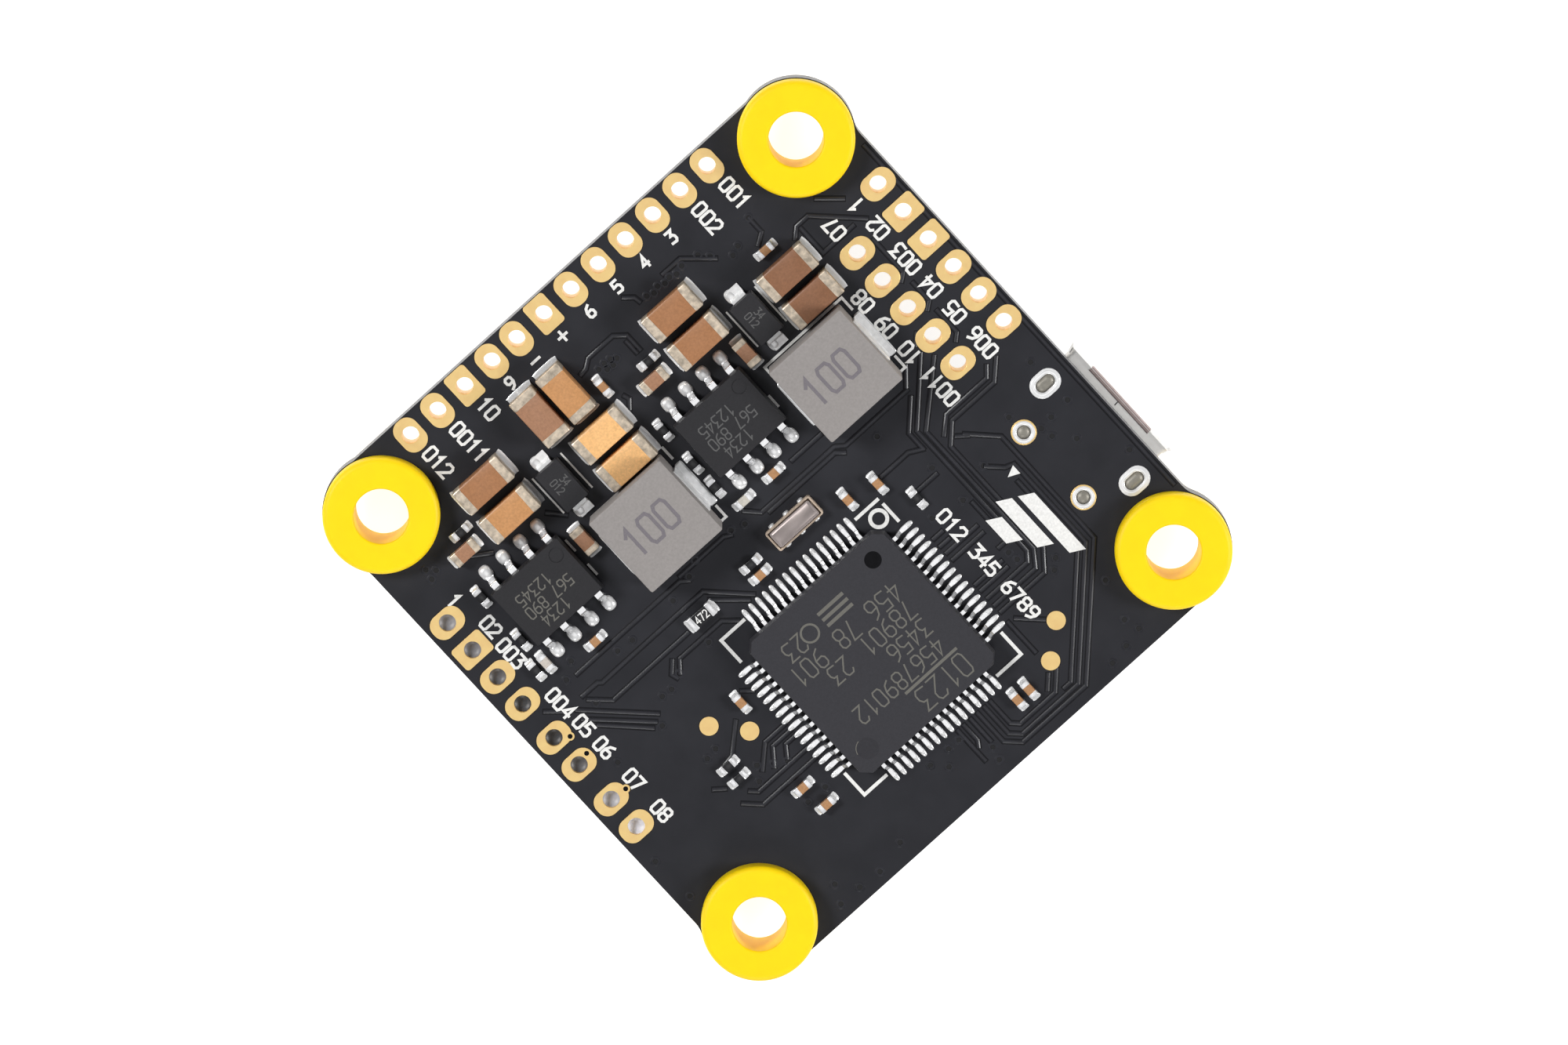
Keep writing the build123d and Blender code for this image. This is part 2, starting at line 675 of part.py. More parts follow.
osd_x, osd_y, osd_height, osd_lift = 9.7, 4.4, 1.0, 0.08
osd_solid = moulded_body(osd_x, osd_y, osd_height, osd_lift, 0.06, 7)
osd_lead = gull_wing(osd_lift + osd_height / 2, 0.24, 0.16, 1.0, 0.13, 0.22)
with BuildPart() as osd_chip_body:
    with Locations(*below([(*osd_place, 0)])):
        add(osd_solid)
save(osd_chip_body, "osd_chip_body")
with BuildPart() as osd_chip_leads:
    with Locations(*lead_locations(osd_place, osd_y / 2, 0.65, 14, (90, 270), 0, True)):
        add(osd_lead)
save(osd_chip_leads, "osd_chip_leads")

with BuildPart() as flash_chip:
    with BuildSketch(Plane((*flash_place, -0.8))):
        Rectangle(6.0, 5.0)
    extrude(amount=0.8)
save(flash_chip, "flash_chip")

sot_x, sot_y, sot_height, sot_lift = 2.9, 1.6, 1.1, 0.05
sot_solid = moulded_body(sot_x, sot_y, sot_height, sot_lift, 0.05, 7)
sot_lead = gull_wing(sot_lift + sot_height / 2, 0.16, 0.12, 0.62, 0.12, 0.4)
with BuildPart() as regulator_bodies:
    with Locations(*below([(x, y, 0) for x, y in regulator_places])):
        add(sot_solid)
save(regulator_bodies, "regulator_bodies")
with BuildPart() as regulator_leads:
    for place in regulator_places:
        upper_leads = lead_locations(place, sot_y / 2, 0.95, 3, (90,), 0, True)
        lower_leads = lead_locations(place, sot_y / 2, 1.9, 2, (270,), 0, True)
        with Locations(*upper_leads, *lower_leads):
            add(sot_lead)
save(regulator_leads, "regulator_leads")

with BuildPart() as crystal:
    with BuildSketch(Plane((*crystal_place, -0.4))):
        RectangleRounded(3.2, 2.5, 0.15)
    extrude(amount=0.4)
    with BuildSketch(Plane((*crystal_place, -0.7))):
        RectangleRounded(2.8, 2.1, 0.25)
    extrude(amount=0.3)
save(crystal, "crystal")

with BuildPart() as status_leds:
    for x, y in status_led_places:
        with BuildSketch(Plane((x, y, -0.3))):
            Rectangle(1.6, 0.8)
        extrude(amount=0.3)
        with BuildSketch(Plane((x, y, -0.6))):
            Rectangle(1.0, 0.8)
        extrude(amount=0.3)
save(status_leds, "status_leds")

under_capacitor_solid = chip_middle(1.6, 0.8, 0.8, 0)
with BuildPart() as under_capacitors:
    with Locations(*below(under_capacitor_places)):
        add(under_capacitor_solid)
save(under_capacitors, "under_capacitors")
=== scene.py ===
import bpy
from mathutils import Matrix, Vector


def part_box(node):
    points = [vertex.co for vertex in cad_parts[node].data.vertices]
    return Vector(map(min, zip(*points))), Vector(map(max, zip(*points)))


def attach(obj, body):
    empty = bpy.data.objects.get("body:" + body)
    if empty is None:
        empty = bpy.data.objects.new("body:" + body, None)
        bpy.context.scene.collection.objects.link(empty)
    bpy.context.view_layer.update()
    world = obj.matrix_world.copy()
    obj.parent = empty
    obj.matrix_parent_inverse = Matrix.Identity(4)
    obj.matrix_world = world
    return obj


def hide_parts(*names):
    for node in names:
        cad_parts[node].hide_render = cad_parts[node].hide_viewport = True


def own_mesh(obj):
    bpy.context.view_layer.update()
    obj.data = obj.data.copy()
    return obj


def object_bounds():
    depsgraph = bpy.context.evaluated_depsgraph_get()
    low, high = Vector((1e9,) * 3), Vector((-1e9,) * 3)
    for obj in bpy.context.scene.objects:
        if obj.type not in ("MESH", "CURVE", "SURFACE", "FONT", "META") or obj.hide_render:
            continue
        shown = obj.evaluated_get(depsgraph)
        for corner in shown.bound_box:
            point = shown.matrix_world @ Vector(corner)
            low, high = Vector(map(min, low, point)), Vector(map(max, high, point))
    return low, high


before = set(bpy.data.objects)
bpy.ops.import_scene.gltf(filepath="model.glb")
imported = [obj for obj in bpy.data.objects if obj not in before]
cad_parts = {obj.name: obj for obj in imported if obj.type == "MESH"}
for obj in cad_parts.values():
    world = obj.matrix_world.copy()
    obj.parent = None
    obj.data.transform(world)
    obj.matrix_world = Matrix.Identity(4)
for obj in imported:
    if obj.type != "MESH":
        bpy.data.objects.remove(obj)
cad_box = [list(corner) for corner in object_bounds()]

import math
import random

import bmesh
import bpy
from mathutils import Matrix, Vector

# Everything below is in millimetres until it becomes a mesh.
MM = 0.001
BOARD = "board"
SIDES = ("left", "right")
chance = random.Random(7)


# ---- reading the frame ----
def span(node):
    """Lowest and highest corner of a CAD node, in millimetres."""
    low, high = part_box(node)
    return Vector(low) / MM, Vector(high) / MM


def solids(node):
    """(lowest, highest) corner of every separate solid in a CAD node, in millimetres."""
    shape = bmesh.new()
    shape.from_mesh(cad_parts[node].data)
    bmesh.ops.remove_doubles(shape, verts=shape.verts, dist=1e-7)
    left = set(shape.verts)
    boxes = []
    while left:
        island = {left.pop()}
        edge_of_island = list(island)
        while edge_of_island:
            vert = edge_of_island.pop()
            for edge in vert.link_edges:
                other = edge.other_vert(vert)
                if other not in island:
                    island.add(other)
                    edge_of_island.append(other)
        left -= island
        corners = [v.co / MM for v in island]
        low = Vector(min(c[i] for c in corners) for i in range(3))
        high = Vector(max(c[i] for c in corners) for i in range(3))
        boxes.append((low, high))
    shape.free()
    return sorted(boxes, key=lambda b: tuple(round(v, 3) for v in b[0]))


def nearest(boxes, place):
    """The (lowest, highest) pair whose middle is nearest to a place, seen from above."""
    return min(boxes, key=lambda box: math.dist(((box[0] + box[1]) / 2)[:2], place[:2]))


def facing(low):
    """1 for a part whose lowest corner is on the top face, -1 for one on the lower face."""
    return 1 if low.z > TOP - 0.1 else -1


BOTTOM, TOP = (corner.z for corner in span("circuit_board"))


# ---- materials ----
class Finish:
    """A principled material with noise in its colour, its roughness and its surface."""

    def __init__(self, name, color, roughness, metallic=0.0, **shader_values):
        self.material = bpy.data.materials.new(name)
        self.material.use_nodes = True
        self.tree = self.material.node_tree
        self.shader = self.tree.nodes["Principled BSDF"]
        self.set(**{"Metallic": metallic, "Roughness": roughness, "Base Color": (*color, 1)}, **shader_values)
        self.place = self.node("ShaderNodeTexCoord").outputs["Object"]
        self.color = color
        self.roughness = roughness

    def set(self, **values):
        """Shader inputs set to values."""
        for name, value in values.items():
            self.shader.inputs[name].default_value = value

    def drive(self, name, output):
        """A shader input driven by a node's output."""
        self.tree.links.new(output, self.shader.inputs[name])
        return self

    def node(self, kind, inputs=None, **settings):
        """A new node; an input is given as a value or as the output that drives it."""
        made = self.tree.nodes.new(kind)
        for key, value in settings.items():
            setattr(made, key, value)
        for key, value in (inputs or {}).items():
            if isinstance(value, bpy.types.NodeSocket):
                self.tree.links.new(value, made.inputs[key])
            else:
                made.inputs[key].default_value = value
        return made

    def noise(self, size, detail=3.0, stretch=(1, 1, 1)):
        """Noise whose grains are about size millimetres across."""
        scale = [s / (size * MM) for s in stretch]
        moved = self.node("ShaderNodeMapping", {"Vector": self.place, "Scale": scale}).outputs[0]
        values = {"Vector": moved, "Scale": 1.0, "Detail": detail}
        return self.node("ShaderNodeTexNoise", values).outputs["Fac"]

    def ramp(self, factor, low, high):
        """A colour between low and high as factor crosses the middle of its range."""
        made = self.node("ShaderNodeValToRGB", {"Fac": factor})
        for element, position, color in zip(made.color_ramp.elements, (0.3, 0.7), (low, high)):
            element.position = position
            element.color = (*color, 1)
        return made.outputs["Color"]

    def mix(self, factor, a, b, **settings):
        """Colour a where factor is 0 and b where it is 1."""
        made = self.node("ShaderNodeMix", {"Factor": factor, "A": a, "B": b}, data_type="RGBA", **settings)
        return made.outputs["Result"]

    def mottle(self, size, amount, detail=3.0):
        """The colour wanders by amount over patches of that size."""
        low, high = ([min(1, c * scale) for c in self.color] for scale in (1 - amount, 1 + amount))
        return self.drive("Base Color", self.ramp(self.noise(size, detail), low, high))

    def uneven_gloss(self, size, amount):
        low, high = max(0.02, self.roughness - amount), min(1, self.roughness + amount)
        values = {"Value": self.noise(size), "To Min": low, "To Max": high}
        return self.drive("Roughness", self.node("ShaderNodeMapRange", values).outputs[0])

    def bump(self, size, depth, strength=0.5):
        """Grain of that size and depth, both in millimetres."""
        values = {"Strength": strength, "Distance": depth * MM, "Height": self.noise(size)}
        return self.drive("Normal", self.node("ShaderNodeBump", values).outputs[0])


def shine(level):
    """The strength of a finish's mirror light, as a shader value; plain plastic has 0.5."""
    return {"Specular IOR Level": level}


def laminate_finish():
    """Black mask on the faces, bare woven laminate on the cut edges, its pale grey partly a painted
    reflection of glare.
    """
    made = Finish("solder_mask", (0.0195, 0.0198, 0.0240), 0.42, **shine(0.22))
    mask = made.ramp(made.noise(2.5, 4), (0.0165, 0.0168, 0.0205), (0.0225, 0.0228, 0.0275))
    # Painted reflection: the cut edges' light grey is partly real laminate, partly glare painted in.
    weave_and_glare = made.ramp(made.noise(0.22, 2, (1, 1, 3)), (0.150, 0.150, 0.155), (0.250, 0.245, 0.248))
    normal = made.node("ShaderNodeNewGeometry").outputs["Normal"]
    height = made.node("ShaderNodeSeparateXYZ", {0: normal}).outputs["Z"]
    level = made.node("ShaderNodeMath", {0: height}, operation="ABSOLUTE").outputs[0]
    on_face = made.node("ShaderNodeMath", {0: level, 1: 0.5}, operation="GREATER_THAN").outputs[0]
    return made.drive("Base Color", made.mix(on_face, weave_and_glare, mask)).bump(0.35, 0.004, 0.25)


def toned_finish(name, roughness, patch):
    """A finish whose colour is each part's own, kept in the mesh's tone attribute."""
    made = Finish(name, (0.4, 0.22, 0.12), roughness)
    tone = made.node("ShaderNodeAttribute", attribute_name="tone").outputs["Color"]
    shade = made.ramp(made.noise(patch, 5), [0.84] * 3, [1.08] * 3)
    return made.drive("Base Color", made.mix(1.0, tone, shade, blend_type="MULTIPLY"))


def epoxy(name, color, roughness, level):
    """The fine grain of a moulded package."""
    return Finish(name, color, roughness, **shine(level)).mottle(0.1, 0.10, 5).bump(0.05, 0.005, 0.6)


# the board
MASK = laminate_finish()
TRACK = Finish("covered_copper", (0.0210, 0.0213, 0.0260), 0.28, **shine(0.32))
TRACK.mottle(1.5, 0.15).bump(0.3, 0.003, 0.2)
GAP = Finish("masked_gap", (0.0075, 0.0075, 0.0092), 0.5, **shine(0.15)).mottle(1.0, 0.1)
# Painted shade: near-black for the shade in the vias' holes.
VIA_SHADE = Finish("painted_shade_via_mouth", (0.003, 0.003, 0.004), 0.8).mottle(0.2, 0.2)
# Painted shade: near-black for the shade in the pin dimple, the shell's seams and the pads' via holes.
SHADE_BLACK = Finish("painted_shade_black", (0.004, 0.004, 0.005), 0.5, **shine(0.1)).mottle(0.3, 0.2)
SILK = Finish("silk_ink", (0.77, 0.765, 0.745), 0.65).mottle(0.12, 0.10).bump(0.05, 0.004, 0.4)
GOLD = Finish("gold_plate", (1.0, 0.69, 0.29), 0.40, 0.6)
GOLD.mottle(0.5, 0.05).uneven_gloss(0.3, 0.06).bump(0.06, 0.002, 0.3)
# tin and solder
TIN = Finish("tin_plate", (0.92, 0.92, 0.93), 0.28, 0.55)
TIN.mottle(0.4, 0.05).uneven_gloss(0.3, 0.06).bump(0.5, 0.003, 0.2)
LEAD_TIN = Finish("lead_tin", (0.93, 0.93, 0.94), 0.22, 0.88).mottle(0.4, 0.05).bump(0.5, 0.003, 0.2)
BRIGHT_TIN = Finish("bright_tin", (0.93, 0.93, 0.93), 0.3, 0.3).mottle(0.25, 0.12).bump(0.4, 0.004, 0.25)
SOLDER = Finish("solder", (0.95, 0.95, 0.95), 0.25, 0.42).mottle(0.5, 0.05).bump(0.8, 0.004, 0.2)
CORE = Finish("dull_solder_core", (0.27, 0.255, 0.22), 0.5, 0.5).mottle(0.3, 0.12).bump(0.4, 0.004, 0.2)
# Painted shade: the left holes' plugs, each grey copied from shade.
HOLE_SHADE_SOLDER = toned_finish("painted_shade_hole_solder", 0.42, 0.3).bump(0.3, 0.01, 0.4)
# packages and their marks
MOULD = epoxy("moulded_epoxy", (0.0275, 0.0270, 0.0325), 0.5, 0.4)
DARK_MOULD = epoxy("dark_epoxy", (0.0185, 0.0180, 0.0205), 0.5, 0.35)
PRESSED_MOULD = epoxy("pressed_epoxy", (0.0235, 0.0230, 0.0280), 0.45, 0.4)
POWDER = Finish("pressed_powder", (0.270, 0.250, 0.240), 0.62).mottle(0.14, 0.07, 5).bump(0.07, 0.008, 0.5)
LASER = Finish("laser_mark", (0.125, 0.12, 0.105), 0.7).mottle(0.05, 0.12)
LASER_DARK = Finish("laser_mark_dark", (0.16, 0.145, 0.16), 0.7).mottle(0.06, 0.12)
FAINT = Finish("faint_mark", (0.085, 0.085, 0.085), 0.65).mottle(0.05, 0.15)
# chips
CERAMIC = toned_finish("fired_ceramic", 0.38, 0.12).bump(0.06, 0.003, 0.35)
END_METAL = Finish("fired_end_metal", (0.66, 0.56, 0.44), 0.38, 0.6)
END_METAL.mottle(0.3, 0.38, 5).uneven_gloss(0.2, 0.12).bump(0.12, 0.012, 0.6)
GLAZE = Finish("resistor_glaze", (0.018, 0.018, 0.020), 0.25).mottle(0.2, 0.2).bump(0.08, 0.003, 0.3)
ALUMINA = Finish("alumina", (0.72, 0.70, 0.66), 0.5).mottle(0.2, 0.06).bump(0.05, 0.003, 0.3)
TUB = Finish("resonator_tub", (0.50, 0.40, 0.31), 0.5).mottle(0.2, 0.1).bump(0.06, 0.003, 0.3)
LID = Finish("lid_metal", (0.52, 0.45, 0.43), 0.38, 0.9).mottle(0.3, 0.05).bump(0.1, 0.003, 0.4)
LENS = Finish("led_epoxy", (0.80, 0.80, 0.70), 0.18, **{"Coat Weight": 0.4}).mottle(0.3, 0.05)
# sheet metal, plastics and silicone
SHEET = Finish("bright_sheet", (0.97, 0.945, 0.91), 0.38, 0.1).mottle(0.6, 0.05).bump(0.5, 0.003, 0.2)
# Painted reflection: the USB mouth's brownish lip.
LIP_REFLECTION = Finish("painted_reflection_lip", (0.42, 0.33, 0.315), 0.35, 0.4).mottle(0.3, 0.1).bump(0.2, 0.002, 0.2)
NICKEL = Finish("nickel_sheet", (0.90, 0.88, 0.83), 0.3, 0.7)
NICKEL.mottle(0.8, 0.05).uneven_gloss(0.5, 0.05).bump(0.7, 0.004, 0.25)
NYLON = Finish("natural_nylon", (0.74, 0.69, 0.57), 0.45, **{"Subsurface Weight": 0.1})
NYLON.mottle(0.8, 0.04).bump(0.12, 0.004, 0.3)
BLACK_NYLON = Finish("black_nylon", (0.02, 0.02, 0.021), 0.42).mottle(0.3, 0.12).bump(0.08, 0.004, 0.3)
SILICONE = Finish("yellow_silicone", (0.97, 0.67, 0.0), 0.5, **shine(0.3))
SILICONE.set(**{"Subsurface Weight": 0.15, "Subsurface Radius": (1.0, 0.5, 0.1), "Subsurface Scale": 0.0006})
SILICONE.mottle(1.2, 0.02).uneven_gloss(0.5, 0.05).bump(0.1, 0.006, 0.35)


# ---- making pieces ----
def in_scene(name, data):
    """A new object in the scene that shows the data."""
    made = bpy.data.objects.new(name, data)
    bpy.context.scene.collection.objects.link(made)
    return made


class Shape:
    """Vertices and faces of one piece, in millimetres, gathered part by part."""

    def __init__(self):
        self.points = []
        self.faces = []
        self.tones = []
        self.tone = (1, 1, 1)

    def add(self, points, faces):
        first = len(self.points)
        self.points += points
        self.tones += [self.tone] * len(points)
        self.faces += [tuple(first + i for i in face) for face in faces]

    def loft(self, rings, capped=True):
        """Joins rings of equally many points; the first and the last are closed off."""
        count = len(rings[0])
        faces = []
        for low in range(0, (len(rings) - 1) * count, count):
            for i in range(count):
                j = (i + 1) % count
                faces.append((low + i, low + j, low + count + j, low + count + i))
        if capped:
            faces.append(tuple(reversed(range(count))))
            faces.append(tuple(range((len(rings) - 1) * count, len(rings) * count)))
        self.add([p for ring in rings for p in ring], faces)

    def finish(self, name, finish, slot, replaces=(), body=BOARD, smooth=35, tones=False):
        """Makes the Blender object, riding on its body."""
        mesh = bpy.data.meshes.new(name)
        mesh.from_pydata([[c * MM for c in p] for p in self.points], [], self.faces)
        if tones:
            layer = mesh.attributes.new("tone", "FLOAT_COLOR", "POINT")
            for item, tone in zip(layer.data, self.tones):
                item.color = (*tone, 1)
        mesh.materials.append(finish.material)
        work = bmesh.new()
        work.from_mesh(mesh)
        bmesh.ops.recalc_face_normals(work, faces=work.faces)
        work.to_mesh(mesh)
        work.free()
        mesh.shade_smooth()
        mesh.set_sharp_from_angle(angle=math.radians(smooth))
        piece = in_scene(name, mesh)
        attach(piece, body)
        if replaces:
            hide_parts(*replaces)
        return piece


def turned(x, y, turn):
    """A point turned by quarter turns, exactly."""
    return [(x, y), (-y, x), (-x, -y), (y, -x)][turn % 4]


def rounded_ring(half_x, half_y, radius, steps=3):
    """Points of a rounded rectangle about the origin, anticlockwise."""
    points = []
    for corner, (sx, sy) in enumerate(((1, 1), (-1, 1), (-1, -1), (1, -1))):
        for step in range(steps + 1):
            angle = math.radians(90 * (corner + step / steps))
            x = sx * (half_x - radius) + radius * math.cos(angle)
            y = sy * (half_y - radius) + radius * math.sin(angle)
            points.append((x, y))
    return points


def flat_ring(centre, half_x, half_y, radius, z, steps=3):
    """A rounded rectangle round a centre, at a height."""
    return [(centre.x + x, centre.y + y, z) for x, y in rounded_ring(half_x, half_y, radius, steps)]


def circle(x, y, radius, count=28):
    """Points of a circle; the first comes again at the end."""
    steps = [2 * math.pi * i / count for i in range(count)]
    points = [(x + radius * math.cos(a), y + radius * math.sin(a)) for a in steps]
    return points + points[:1]


def revolve(shape, x, y, profile, count=24, closed=False):
    """A turned shape from (radius, height) pairs; a closed one runs back to its start, like a ring."""
    rings = [[(*p, z) for p in circle(x, y, radius, count)[:-1]] for radius, z in profile]
    shape.loft(rings + rings[:1] if closed else rings, capped=not closed)


def disc(shape, x, y, radius, low, high, edge=0.0, count=24):
    """A low round button, its edge eased."""
    revolve(shape, x, y, [(radius, low), (radius - edge, high)], count)


def plate(shape, outline, low, high):
    """A flat shape with upright sides."""
    shape.loft([[(*p, z) for p in outline] for z in (low, high)])


# ---- a stroke font of figures and signs, one unit high ----
FIGURES = {
    "0": [[(0.1, 0), (0, 0.15), (0, 0.85), (0.1, 1), (0.5, 1), (0.6, 0.85), (0.6, 0.15), (0.5, 0), (0.1, 0)]],
    "1": [[(0.1, 0.78), (0.32, 1), (0.32, 0)]],
    "2": [[(0, 0.82), (0.14, 1), (0.48, 1), (0.6, 0.85), (0.6, 0.62), (0, 0), (0.6, 0)]],
    "3": [[(0, 1), (0.6, 1), (0.28, 0.6), (0.48, 0.58), (0.6, 0.42), (0.6, 0.16), (0.46, 0), (0, 0.04)]],
    "4": [[(0.46, 0), (0.46, 1), (0, 0.3), (0.62, 0.3)]],
    "5": [[(0.58, 1), (0.06, 1), (0, 0.56), (0.42, 0.6), (0.6, 0.44), (0.6, 0.14), (0.46, 0), (0, 0.04)]],
    "6": [[(0.5, 1), (0.18, 0.84), (0, 0.5), (0, 0.14), (0.14, 0), (0.46, 0), (0.6, 0.14), (0.6, 0.4),
           (0.46, 0.54), (0.04, 0.5)]],
    "7": [[(0, 1), (0.6, 1), (0.22, 0)]],
    "8": [[(0.12, 0.52), (0.02, 0.66), (0.02, 0.88), (0.14, 1), (0.46, 1), (0.58, 0.88), (0.58, 0.66),
           (0.48, 0.52), (0.12, 0.52), (0, 0.38), (0, 0.12), (0.14, 0), (0.46, 0), (0.6, 0.12), (0.6, 0.38),
           (0.48, 0.52)]],
    "+": [[(-0.15, 0.5), (0.75, 0.5)], [(0.3, 0.95), (0.3, 0.5)], [(0.3, 0.5), (0.3, 0.05)]],
    "-": [[(-0.15, 0.5), (0.75, 0.5)]],
    " ": [],
}
# A nine is a six turned half round.
FIGURES["9"] = [[(0.6 - u, 1 - v) for u, v in line] for line in FIGURES["6"]]
NARROW = 0.82  # how wide the figures are drawn, of the widths above
ADVANCE = 0.70  # from one figure to the next


def strokes(text, x, y, height, turn, stretch=1.0):
    """Centre lines of a text that is centred on (x, y), turned by quarter turns."""
    width = (len(text) - 1) * ADVANCE + 0.6 * NARROW
    lines = []
    for place, sign in enumerate(text):
        for line in FIGURES[sign]:
            flat = [((u * NARROW + place * ADVANCE - width / 2) * height * stretch, (v - 0.5) * height)
                    for u, v in line]
            moved = [turned(u, v, turn) for u, v in flat]
            lines.append([(x + u, y + v) for u, v in moved])
    return lines


def ribbon(shape, line, width, low, high, slope=0.0):
    """A raised line with mitred corners, closed where its ends meet.

    It climbs a hair along its length, so it can cross itself."""
    points = [Vector(p) for p in line]
    closed = (points[0] - points[-1]).length < 1e-6
    if closed:
        points.pop()
    count = len(points)
    overrun, sharpest, climb = 0.35, 0.35, 0.06
    rings = []
    for i, point in enumerate(points):
        before = points[i - 1] if i or closed else None
        after = points[(i + 1) % count] if i < count - 1 or closed else None
        into = (point - before).normalized() if before is not None else (after - point).normalized()
        out = (after - point).normalized() if after is not None else into
        along = (into + out).normalized()
        across = Vector((-along.y, along.x))
        across = across * (1 / max(sharpest, abs(across.dot(Vector((-into.y, into.x))))))
        if before is None:
            point = point + -into * width * overrun
        elif after is None:
            point = point + out * width * overrun
        top = across * (width / 2 - slope)
        base = across * (width / 2)
        crest = low + (high - low) * (1 + climb * i / count)
        rings.append([(*(point + base), low), (*(point + top), crest), (*(point - top), crest),
                      (*(point - base), low)])
    if closed:
        rings.append(rings[0])
    shape.loft(rings, capped=not closed)


# ---- camera, light and floor ----
def look_from(tilt, roll, distance, lens, shift):
    """A camera above the board; tilt is the slope of its direction, roll turns its up axis."""
    away = Vector((*tilt, 1)).normalized()
    up = Vector((math.cos(roll), math.sin(roll), 0))
    up = (up - away * up.dot(away)).normalized()
    right = up.cross(away)
    data = bpy.data.cameras.new("camera")
    data.sensor_width = 36
    data.lens = lens
    data.shift_x, data.shift_y = shift
    data.clip_start = 0.01
    data.clip_end = 20
    camera = in_scene("camera", data)
    target = Vector((0, 0, TOP))
    turn = Matrix((right, up, away)).transposed().to_4x4()
    camera.matrix_world = Matrix.Translation((target + away * distance) * MM) @ turn
    bpy.context.scene.camera = camera


def area_light(name, place, size, power):
    """A round lamp that shines at the middle of the board."""
    data = bpy.data.lights.new(name, "AREA")
    data.shape = "DISK"
    data.size = size * MM
    data.energy = power
    light = in_scene(name, data)
    light.location = Vector(place) * MM
    light.rotation_euler = (-Vector(place)).to_track_quat("-Z", "Y").to_euler()


def studio():
    """Camera, sky, four lamps and a floor of pale paper."""
    look_from(tilt=(0.0955, 0.1113), roll=math.radians(47.65), distance=500, lens=210.8,
              shift=(0.0041, 0.0055))
    bpy.context.scene.view_settings.view_transform = "Standard"
    world = bpy.data.worlds.new("world")
    world.use_nodes = True
    sky = world.node_tree.nodes["Background"].inputs
    sky["Color"].default_value = (0.96, 0.97, 1.0, 1)
    sky["Strength"].default_value = 0.16
    bpy.context.scene.world = world
    area_light("overhead", (-53, -62, 560), 210, 0.115)
    area_light("key", (-150, 300, 330), 150, 1.6)
    area_light("fill", (262, -240, 235), 130, 1.2)
    area_light("rim", (-260, -260, 240), 130, 0.5)
    paper = Finish("floor_paper", (0.50, 0.50, 0.50), 0.9).mottle(8, 0.01)
    paper.set(**{"Emission Color": (1, 1, 1, 1), "Emission Strength": 0.85})
    mesh = bpy.data.meshes.new("floor")
    reach, floor_z = 1.5, cad_box[0][2]
    corners = [(-reach, -reach), (reach, -reach), (reach, reach), (-reach, reach)]
    mesh.from_pydata([(x, y, floor_z) for x, y in corners], [], [(0, 1, 2, 3)])
    mesh.materials.append(paper.material)
    floor = in_scene("floor", mesh)


studio()

# ---- CAD nodes that keep their shape ----
# The CAD nodes that every finish goes on.
KEPT = {
    MASK: ["circuit_board"],
    GOLD: ["front_pads", "left_pads", "right_outer_pads", "right_inner_pads", "test_pads", "usb_contacts"],
    BRIGHT_TIN: ["diode_left_leads", "diode_right_leads"],
    LEAD_TIN: ["mcu_leads", "converter_left_leads", "converter_right_leads"],
    TIN: ["osd_chip_leads", "regulator_leads", "boot_button_terminals", "esc_socket_contacts",
          "esc_socket_anchors"],
    MOULD: ["mcu_body", "osd_chip_body", "flash_chip", "motion_sensor", "regulator_bodies"],
    DARK_MOULD: ["converter_left_body", "converter_right_body", "diode_left_body", "diode_right_body"],
    ALUMINA: ["barometer_base"],
    NICKEL: ["boot_button_cover", "barometer_lid", "crystal"],
    NYLON: ["esc_socket_housing"],
    BLACK_NYLON: ["usb_tongue", "boot_button_base", "boot_button_plunger"],
    LENS: ["status_leds"],
}
# The width of the eased edges, and the nodes that have them.
EASED = {
    0.05: KEPT[MOULD] + KEPT[DARK_MOULD],
    0.04: ["esc_socket_housing", "boot_button_base", "boot_button_cover", "crystal", "usb_tongue",
           "esc_socket_anchors"],
    0.02: ["front_pads", "left_pads", "right_outer_pads", "right_inner_pads", "esc_socket_contacts",
           "boot_button_terminals", "status_leds"],
}


def dress_kept_nodes():
    """The kept nodes get their materials and, by modifiers, eased edges."""
    for finish, names in KEPT.items():
        for name in names:
            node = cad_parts[name]
            node.data.materials.clear()
            node.data.materials.append(finish.material)
    for width, names in EASED.items():
        for name in names:
            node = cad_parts[name]
            weld = node.modifiers.new("weld", "WELD")
            weld.merge_threshold = 1e-7
            bevel = node.modifiers.new("bevel", "BEVEL")
            bevel.width = width * MM
            bevel.segments = 2
            bevel.limit_method = "ANGLE"
            bevel.angle_limit = math.radians(35)
            bevel.harden_normals = True


dress_kept_nodes()


